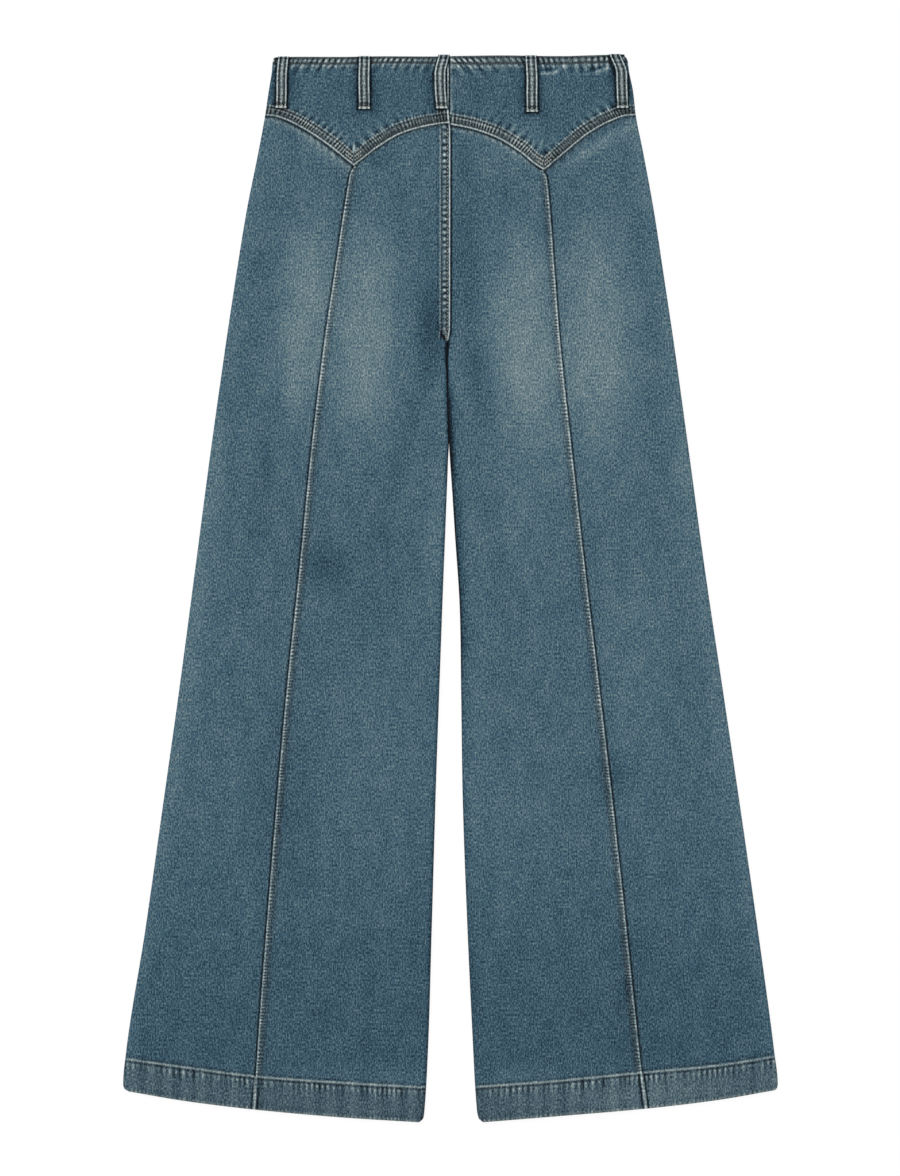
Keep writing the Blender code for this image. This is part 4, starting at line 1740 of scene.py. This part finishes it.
def yoke_top(across, down):
    """Height of the yokes' outer face under a belt loop, without its puckers."""
    side = "left" if across < 0 else "right"
    point = VERTICAL_SEAMS.at(side, 0)
    if abs(across) > abs(point):
        edge = SIDE_SEAMS.at(side, down)
        seam = YOKE_LINES.at(f"{side}_outer", (across - edge) / (point - edge))
    else:
        seam = YOKE_LINES.at(f"{side}_inner", (point - across) / point)
    from_waist = down - WAIST.at("down", across)
    raised = max(WAIST_SEAM.at("raise", from_waist), LIGHT_LAP.at("raise", seam - down), 0)
    return BACK_TOP + fold_rise(across, down) + raised


# Angles of the points round a loop's bend, and how its turned edge falls away at its end.
LOOP_BEND_ANGLES = (20, 40, 60, 75)
LOOP_TURN = ((0.75, 0.0), (0.4, 0.06), (0.15, 0.2), (0.0, 0.5))


def loop_path(above, top, bend, bottom, bend_down, end):
    """Middle line of a back loop's outer face, as across, down and height."""
    line = Table("down across", (-2, top), (bend_down, bend), (end, bottom))
    edge = WAIST.at("down", top)
    over = edge - above
    face = yoke_top(top, edge + LOOP_TACKED / 2) + SEAM_GAP + LOOP_WALL
    rows = [(over, LOOP_END_HEIGHT), (over, face - LOOP_BEND_SIZE)]
    for angle in np.radians(LOOP_BEND_ANGLES):
        bent = LOOP_BEND_SIZE * (1 - np.sin(angle))
        rows.append((over + LOOP_BEND_SIZE * (1 - np.cos(angle)), face - bent))
    first, last = edge + LOOP_TACKED, end - LOOP_TACKED
    for at in np.linspace(0, 1, 25):
        down = first + (last - first) * at
        arch = LOOP_ARCH * np.sin(np.pi * at) ** 0.75 if 0 < at < 1 else 0.0
        rows.append((down, yoke_top(line.at("across", down), down) + SEAM_GAP + LOOP_WALL + arch))
    last_face = yoke_top(bottom, end) + SEAM_GAP + LOOP_WALL
    for share_left, fall in LOOP_TURN:
        rows.append((end - LOOP_TURNED_EDGE * share_left * 1.5, last_face - LOOP_TURNED_EDGE * fall))
    return np.array([(line.at("across", down), down, height) for down, height in rows])


def finely(path, step):
    """A path with evenly spaced points, and each point's distance from its start."""
    reach = lengths_along(path)
    keys = np.linspace(0, reach[-1], int(reach[-1] / step) + 1)
    table = Table("reach across down height", *np.column_stack([reach, path]))
    return np.column_stack([table.at(name, keys) for name in ("across", "down", "height")]), keys


# Where the table of a strap's edges ends, at the edge itself, and how worn the straps are.
STRAP_EDGE_REACH = 6
STRAP_FADE = 0.03


def strap_place(path, reach, width, pucker, relief=1.0):
    """Lays a strap's grid along a path: a column's share runs from -1 to 1 across it."""

    def place(column, row):
        index = row[:, 0].astype(int)
        middle = path[index]
        aside = column[:, 0] * width / 2
        from_middle = np.abs(column[:, 0]) * STRAP_EDGE_REACH
        raised, puckers = seam_height("strap_edge", from_middle, middle[:, 1])
        raised = relief * (raised + pucker * puckers)
        sway = 0.25 * relief * np.sin(middle[:, 1] / 7.4 + path[0, 0])
        points = np.stack(
            [middle[:, 0] + aside + sway, ORIGIN_DOWN - middle[:, 1], middle[:, 2] + raised], axis=1
        )
        marks = {
            "strap_edge": from_middle,
            "strap_end": reach[-1] - reach[index],
            "strap_top": reach[index],
            "fade": 0 * aside + STRAP_FADE,
            "along": middle[:, 1],
        }
        thin = LOOP_WALL * ramp(middle[:, 1], path[0, 1] + 1, 2.5) * LOOP_TOP_THIN * relief
        return points, LOOP_WALL - thin + np.minimum(raised, 0.1), marks

    return place


STRAP_HALF = (0.08, 0.16, 0.25, 0.33, 0.4, 0.48, 0.56, 0.64, 0.72, 0.8, 0.86, 0.92, 0.97, 1)
STRAP_COLUMNS = [(at, 0, 0, 0) for at in (*[-at for at in STRAP_HALF[::-1]], 0, *STRAP_HALF)]
# Spacing of a strap's points. How far out its stitches lie and its bartacks reach, as
# shares of half its width, and how many points from its start and its end its sewing keeps.
STRAP_STEP = 0.6
STRAP_STITCH = 0.4
TACK_REACH = 0.72
STRAP_SEWN_FROM = 14
STRAP_SEWN_TO = 6


class JEANS_OT_belt_loops(bpy.types.Operator):
    """Make the seven belt loops with their sewing"""

    bl_idname = "jeans.belt_loops"
    bl_label = "Belt loops"

    def execute(self, context):
        sizes, _ = settings()
        materials = denim("strap", STRAP_SEAMS)
        for name, width, above, top, bend, bottom, bend_down, end in LOOPS:
            path, reach = finely(loop_path(above, top, bend, bottom, bend_down, end), STRAP_STEP)
            place = strap_place(path, reach, width, sizes.pucker)
            rows = [(index, 0) for index in range(len(path))]
            add_cloth(name, STRAP_COLUMNS, rows, place, materials)
            self.sew(name, place, len(path), sizes)
        for side in SIDES:
            edges, lines = (side_edge(side), middle_edge(side)), front_lines(side)
            downs = np.arange(-SEAM_GAP, FRONT_LOOP_LENGTH, 1.0)
            column = np.array([(0.5, 0, 0, 0)] * len(downs), float)
            layout = Layout(edges, lines, column, np.column_stack([0 * downs, downs]))
            path = np.column_stack([layout.across, layout.down, 0 * downs])
            place = self.flat_strap(path, downs - downs[0])
            rows = [(index, 0) for index in range(len(path))]
            node = f"belt_loop_front_{side}"
            add_cloth(node, STRAP_COLUMNS, rows, place, materials, False)
        return {"FINISHED"}

    def flat_strap(self, path, reach):
        """Lays a front loop out flat on the surface."""
        place = strap_place(path, reach, LOOP_WIDTH, 0.0, relief=0.0)

        def flat(column, row):
            points, wall, marks = place(column, row)
            lift = np.maximum(-STRAP_EDGE.at("raise", marks["strap_edge"]), 0)
            points[:, 2] += lift
            return points, wall - lift, marks

        return flat

    def sew(self, name, place, count, sizes):
        """Two rows of stitches down a strap, and a bartack across its lower end."""
        rows = [(index, 0) for index in range(STRAP_SEWN_FROM, count - STRAP_SEWN_TO)]
        tracks = []
        for at in (-STRAP_STITCH, STRAP_STITCH):
            path = sampled(place, [(at, 0, 0, 0)], rows)
            width = sizes.stitch_width / MM
            tracks.append(stitches_along(path, up=1, pitch=2.9, length=0.62, width=width, sink=0.05))
        stitching_piece(f"{name}_stitching", "dark_thread", tracks)
        across = np.linspace(-TACK_REACH, TACK_REACH, 30)
        tracks = []
        for row in (count - 5, count - 4):
            path = sampled(place, [(at, 0, 0, 0) for at in across], [(row, 0)])
            tracks.append(stitches_along(path, up=1, pitch=1.5, length=0.9, width=0.6, sink=0.02))
        stitching_piece(f"{name}_bartack", "thread", tracks)


class JEANS_OT_button(bpy.types.Operator):
    """Make the waist button, which is sunk into the left front"""

    bl_idname = "jeans.waist_button"
    bl_label = "Waist button"

    def execute(self, context):
        _, colours = settings()
        low, high, rim = BUTTON_CLEAR, BUTTON_CLEAR + BUTTON_HEIGHT, BUTTON_RADIUS
        outline = (
            (0, high), (rim - 1.2, high), (rim - 0.5, high - 0.15), (rim - 0.1, high - 0.5),
            (rim, high - 0.8), (rim - 0.1, low + 0.4), (rim - 0.5, low + 0.1), (rim - 1.0, low),
            (rim - 1.7, low + 0.05), (rim - 2.3, low + 0.35), (rim - 2.8, low + 0.5),
            (3.2, low + 0.45), (2.6, low + 0.3), (1.8, low + 0.22), (0, low + 0.2),
        )
        profile = bmesh.new()
        points = [profile.verts.new((radius * MM, 0, height * MM)) for radius, height in outline]
        for start, end in zip(points, points[1:]):
            profile.edges.new((start, end))
        mesh = bpy.data.meshes.new("waist_button_metal")
        profile.to_mesh(mesh)
        profile.free()
        button = piece_from("waist_button_metal", mesh)
        button.location = (button_across() * MM, (ORIGIN_DOWN - BUTTON_DOWN) * MM, 0)
        turn = button.modifiers.new("Turn", "SCREW")
        turn.steps = 72
        turn.render_steps = 72
        turn.use_merge_vertices = True
        turn.merge_threshold = 0.00001
        turn.use_smooth_shade = True
        mesh.materials.append(material_once("button_metal", lambda: metal_material(colours)))
        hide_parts("waist_button")
        return {"FINISHED"}


# How many columns of a piece a row of sewing follows.
SEWN_COLUMNS = 160


def sewn_columns(start, stop, first=0):
    return columns_between(start, stop, SEWN_COLUMNS, first)


# Rows of sewing on the yokes: distance from the seam, pitch, width and thread.
LAP_ROWS = {
    "light_lap": (
        (2.7, 0.9, 0.8, "dark_thread"), (7.0, 1, 1.1, "seam_thread"), (10.3, 1, 1.1, "seam_thread"),
    ),
    "dark_lap": (
        (2.8, 0.9, 0.8, "dark_thread"), (7.2, 1, 0.9, "dark_thread"), (11.0, 1, 0.9, "seam_thread"),
    ),
}
# The brighter rows round the yokes' points: distance and width, and how far they reach.
POINT_ROWS = ((3.9, 2.2), (7.0, 2.0), (10.0, 1.8))
POINT_REACH = 8.0


class JEANS_OT_yoke_sewing(bpy.types.Operator):
    """Sew the casing at the waist and the lapped seams of the yokes"""

    bl_idname = "jeans.yoke_sewing"
    bl_label = "Yoke sewing"

    def execute(self, context):
        sizes, _ = settings()
        for side in SIDES:
            place = yoke_place(side, sizes)
            halves = {"outer": sewn_columns(SIDE_ROLL, 0.1), "inner": sewn_columns(0.1, 1.5, first=1)}
            names = ("waist_stitching", "yoke_seam_thread", "yoke_dark_thread", "yoke_thread")
            tracks = {name: [] for name in names}
            for half, columns in halves.items():
                casing = self.casing_path(place, columns)
                tracks["waist_stitching"].append(stitched(casing, sizes, pitch=0.85, width=0.9))
                for distance, pitch, width, kind in LAP_ROWS[LAPS[side, half]]:
                    path = self.lap_path(place, side, half, distance, columns)
                    tracks[f"yoke_{kind}"].append(stitched(path, sizes, pitch, width))
            for distance, width in POINT_ROWS:
                for half, columns in halves.items():
                    path = self.lap_path(place, side, half, distance, columns)
                    near = path[np.abs(path[:, 0] - VERTICAL_SEAMS.at(side, 0)) < POINT_REACH]
                    tracks["yoke_thread"].append(stitched(near, sizes, pitch=0.6, width=width, length=0.9))
            for name, rows in tracks.items():
                kind = name.removeprefix("yoke_") if name.startswith("yoke_") else "dark_thread"
                stitching_piece(f"{name}_{side}", kind, rows)
        return {"FINISHED"}

    def casing_path(self, place, columns):
        """A path along the casing's stitching."""
        across = sampled(place, columns, [(0, 0)])[:, 0]
        return sampled(place, columns, [(0, WAIST_STITCH * depth) for depth in CASING.at("depth", across)])

    def lap_path(self, place, side, half, distance, columns):
        """A path that keeps its distance from the yoke seam, measured square to it."""
        shares = np.array([column[0] for column in columns]) - (half == "inner")
        seam = yoke_edge(side, half, lower=False)
        point = VERTICAL_SEAMS.at(side, 0)
        width = abs(point) if half == "inner" else abs(SIDE_SEAMS.at(side, seam(0.0)) - point)
        low, high = np.clip(shares - 0.01, 0, 1), np.clip(shares + 0.01, 0, 1)
        slant = np.arctan2(seam(high) - seam(low), width * (high - low))
        above = distance * LAP_WIDTHS[side, half] / np.cos(slant)
        return sampled(place, columns, np.column_stack([1 + 0 * shares, -above]))


# Distances of the back's stitches from their seams, and where the crotch's bartacks start.
VERTICAL_STITCH = 2.9
FELL_STITCHES = (3.0, 10.2)
CROTCH_TACKS = (5.4, 6.6)
CROTCH_TACK_WIDTH = 4.6


def rows_along(start, stop, count):
    """Rows from one share of the way between a panel's top and its hem to another."""
    return [(at, 0) for at in np.linspace(start, stop, count)]


class JEANS_OT_back_sewing(bpy.types.Operator):
    """Sew the vertical seams and the centre back seam"""

    bl_idname = "jeans.back_sewing"
    bl_label = "Back sewing"

    def execute(self, context):
        sizes, _ = settings()
        for side in SIDES:
            place, column = back_centre_place(side, sizes), plain_columns(0, VERTICAL_STITCH)
            path = sampled(place, column, rows_along(0.003, 1, 1400))
            track = stitched(path, sizes, width=0.8, sink=0.1)
            stitching_piece(f"vertical_stitching_{side}", "dark_thread", [track])
        place = back_centre_place("left", sizes)
        rows = rows_along(0.004, 0.222, 500)
        paths = [sampled(place, plain_columns(1, -away), rows) for away in FELL_STITCHES]
        stitching_piece("centre_back_stitching", "seam_thread", [stitched(path, sizes) for path in paths])
        rows = rows_along(0.2125, 0.2255, 30)
        tracks = []
        for start in CROTCH_TACKS:
            columns = plain_columns(1, *np.linspace(-start, CROTCH_TACK_WIDTH - start, len(rows)))
            path = sampled(place, columns, rows)
            tracks.append(stitches_along(path, up=1, pitch=1.9, length=0.8, width=0.8, sink=0.0))
        stitching_piece("crotch_bartack", "seam_thread", tracks)
        return {"FINISHED"}


# The pitch of the hems' stitches, as a share of the usual one.
HEM_PITCH = 1.25


class JEANS_OT_hem_sewing(bpy.types.Operator):
    """Sew the hems of the legs and the plain sewing of the fronts"""

    bl_idname = "jeans.hem_sewing"
    bl_label = "Hem sewing"

    def execute(self, context):
        sizes, _ = settings()
        for side in SIDES:
            hem = [(1, HEM_STITCH)]
            paths = (
                sampled(back_side_place(side, sizes), sewn_columns(SIDE_ROLL, 0.5), hem),
                sampled(back_centre_place(side, sizes), sewn_columns(0.5, SIDE_ROLL), hem),
            )
            tracks = [stitched(path, sizes, HEM_PITCH) for path in paths]
            stitching_piece(f"hem_stitching_{side}", "thread", tracks)
            place, columns = front_place(side, sizes), sewn_columns(SIDE_ROLL, SIDE_ROLL)
            tracks = [
                stitched(sampled(place, columns, row), sizes, pitch, up=-1)
                for row, pitch in ((hem, HEM_PITCH), ([(0, WAIST_STITCH)], 1.0))
            ]
            stitching_piece(f"front_stitching_{side}", "thread", tracks)
        return {"FINISHED"}


# ------------------------------------------------------------------- the stage


class JeansStage(bpy.types.PropertyGroup):
    """The camera, the floor and the light."""

    camera_height: number("Camera height", "Height of the camera above the cloth", 4.0, unit="LENGTH")
    frame_length: number("Frame length", "Length of the picture's long side", 1.176, unit="LENGTH")
    floor_size: number("Floor size", "Side of the square floor", 12.0, unit="LENGTH")
    sky: number("Sky light", "Strength of the even light from all round", 0.62, min=0)
    lamp: number("Lamp light", "Share of the light that the soft lamp gives", 0.38, min=0)
    lamp_elevation: number(
        "Lamp elevation", "Angle of the lamp above the floor", np.radians(50), subtype="ANGLE"
    )
    lamp_turn: number(
        "Lamp direction", "Angle from the waist's side towards the left", np.radians(35), subtype="ANGLE"
    )


SENSOR = 36.0
PICTURE_MIDDLE = (-0.0005, 0.0003, 0.005)
# How far the floor lies under the garment.
FLOOR_DROP = 0.3
# How much of the floor's brightness is light that falls on it, and can be shaded.
FLOOR_SHADE = 0.07
LAMP_SPREAD = np.radians(35)


class JEANS_OT_stage(bpy.types.Operator):
    """Lay the floor, hang the light and set up the camera"""

    bl_idname = "jeans.stage"
    bl_label = "Stage"

    def execute(self, context):
        stage = context.scene.jeans_stage
        _, colours = settings()
        self.add_floor(stage, colours)
        self.add_light(context.scene, stage)
        self.add_camera(context.scene, stage)
        return {"FINISHED"}

    def add_floor(self, stage, colours):
        grid = bmesh.new()
        bmesh.ops.create_grid(grid, x_segments=1, y_segments=1, size=stage.floor_size / 2)
        mesh = bpy.data.meshes.new("floor")
        grid.to_mesh(mesh)
        grid.free()
        floor = linked("floor", mesh)
        floor.location.z = -FLOOR_DROP * MM
        material = Shader("floor").finish(
            Base_Color=(*[FLOOR_SHADE * part for part in colours.floor], 1),
            Roughness=0.9,
            Emission_Color=(*colours.floor, 1),
            Emission_Strength=1 - FLOOR_SHADE,
        )
        mesh.materials.append(material)

    def add_light(self, scene, stage):
        world = bpy.data.worlds.new("studio")
        world.use_nodes = True
        sky = world.node_tree.nodes["Background"].inputs
        sky["Color"].default_value = (1, 1, 1, 1)
        sky["Strength"].default_value = stage.sky
        scene.world = world
        lamp = bpy.data.lights.new("lamp", "SUN")
        lamp.angle = LAMP_SPREAD
        lamp.energy = stage.lamp * np.pi / np.sin(stage.lamp_elevation)
        holder = linked("lamp", lamp)
        holder.rotation_euler = (-(np.pi / 2 - stage.lamp_elevation), 0, stage.lamp_turn)
        scene.view_settings.view_transform = "Standard"

    def add_camera(self, scene, stage):
        lens = bpy.data.cameras.new("camera")
        lens.sensor_width = SENSOR
        lens.lens = SENSOR * stage.camera_height / stage.frame_length
        camera = linked("camera", lens)
        across, along, height = PICTURE_MIDDLE
        camera.location = (across, along, height + stage.camera_height)
        scene.camera = camera


class JEANS_PT_panel(bpy.types.Panel):
    """Lists the steps that dress the jeans"""

    bl_idname = "JEANS_PT_panel"
    bl_label = "Wide leg jeans"
    bl_space_type = "VIEW_3D"
    bl_region_type = "UI"
    bl_category = "Jeans"

    def draw(self, context):
        for step in STEPS:
            self.layout.operator(step.bl_idname)
        for group in (context.scene.jeans_sizes, context.scene.jeans_colours, context.scene.jeans_stage):
            column = self.layout.column()
            for name in group.bl_rna.properties.keys():
                if name not in ("rna_type", "name"):
                    column.prop(group, name)


STEPS = (
    JEANS_OT_stage,
    JEANS_OT_fronts,
    JEANS_OT_back_panels,
    JEANS_OT_yokes,
    JEANS_OT_belt_loops,
    JEANS_OT_button,
    JEANS_OT_yoke_sewing,
    JEANS_OT_back_sewing,
    JEANS_OT_hem_sewing,
)
GROUPS = {"jeans_sizes": JeansSizes, "jeans_colours": JeansColours, "jeans_stage": JeansStage}


def register():
    for kind in (*GROUPS.values(), *STEPS, JEANS_PT_panel):
        bpy.utils.register_class(kind)
    for name, group in GROUPS.items():
        setattr(bpy.types.Scene, name, bpy.props.PointerProperty(type=group))


def unregister():
    for name in GROUPS:
        delattr(bpy.types.Scene, name)
    for kind in (JEANS_PT_panel, *STEPS[::-1], *GROUPS.values()):
        bpy.utils.unregister_class(kind)


def main():
    register()
    for step in STEPS:
        group, name = step.bl_idname.split(".")
        getattr(getattr(bpy.ops, group), name)()


if __name__ == "__main__":
    main()
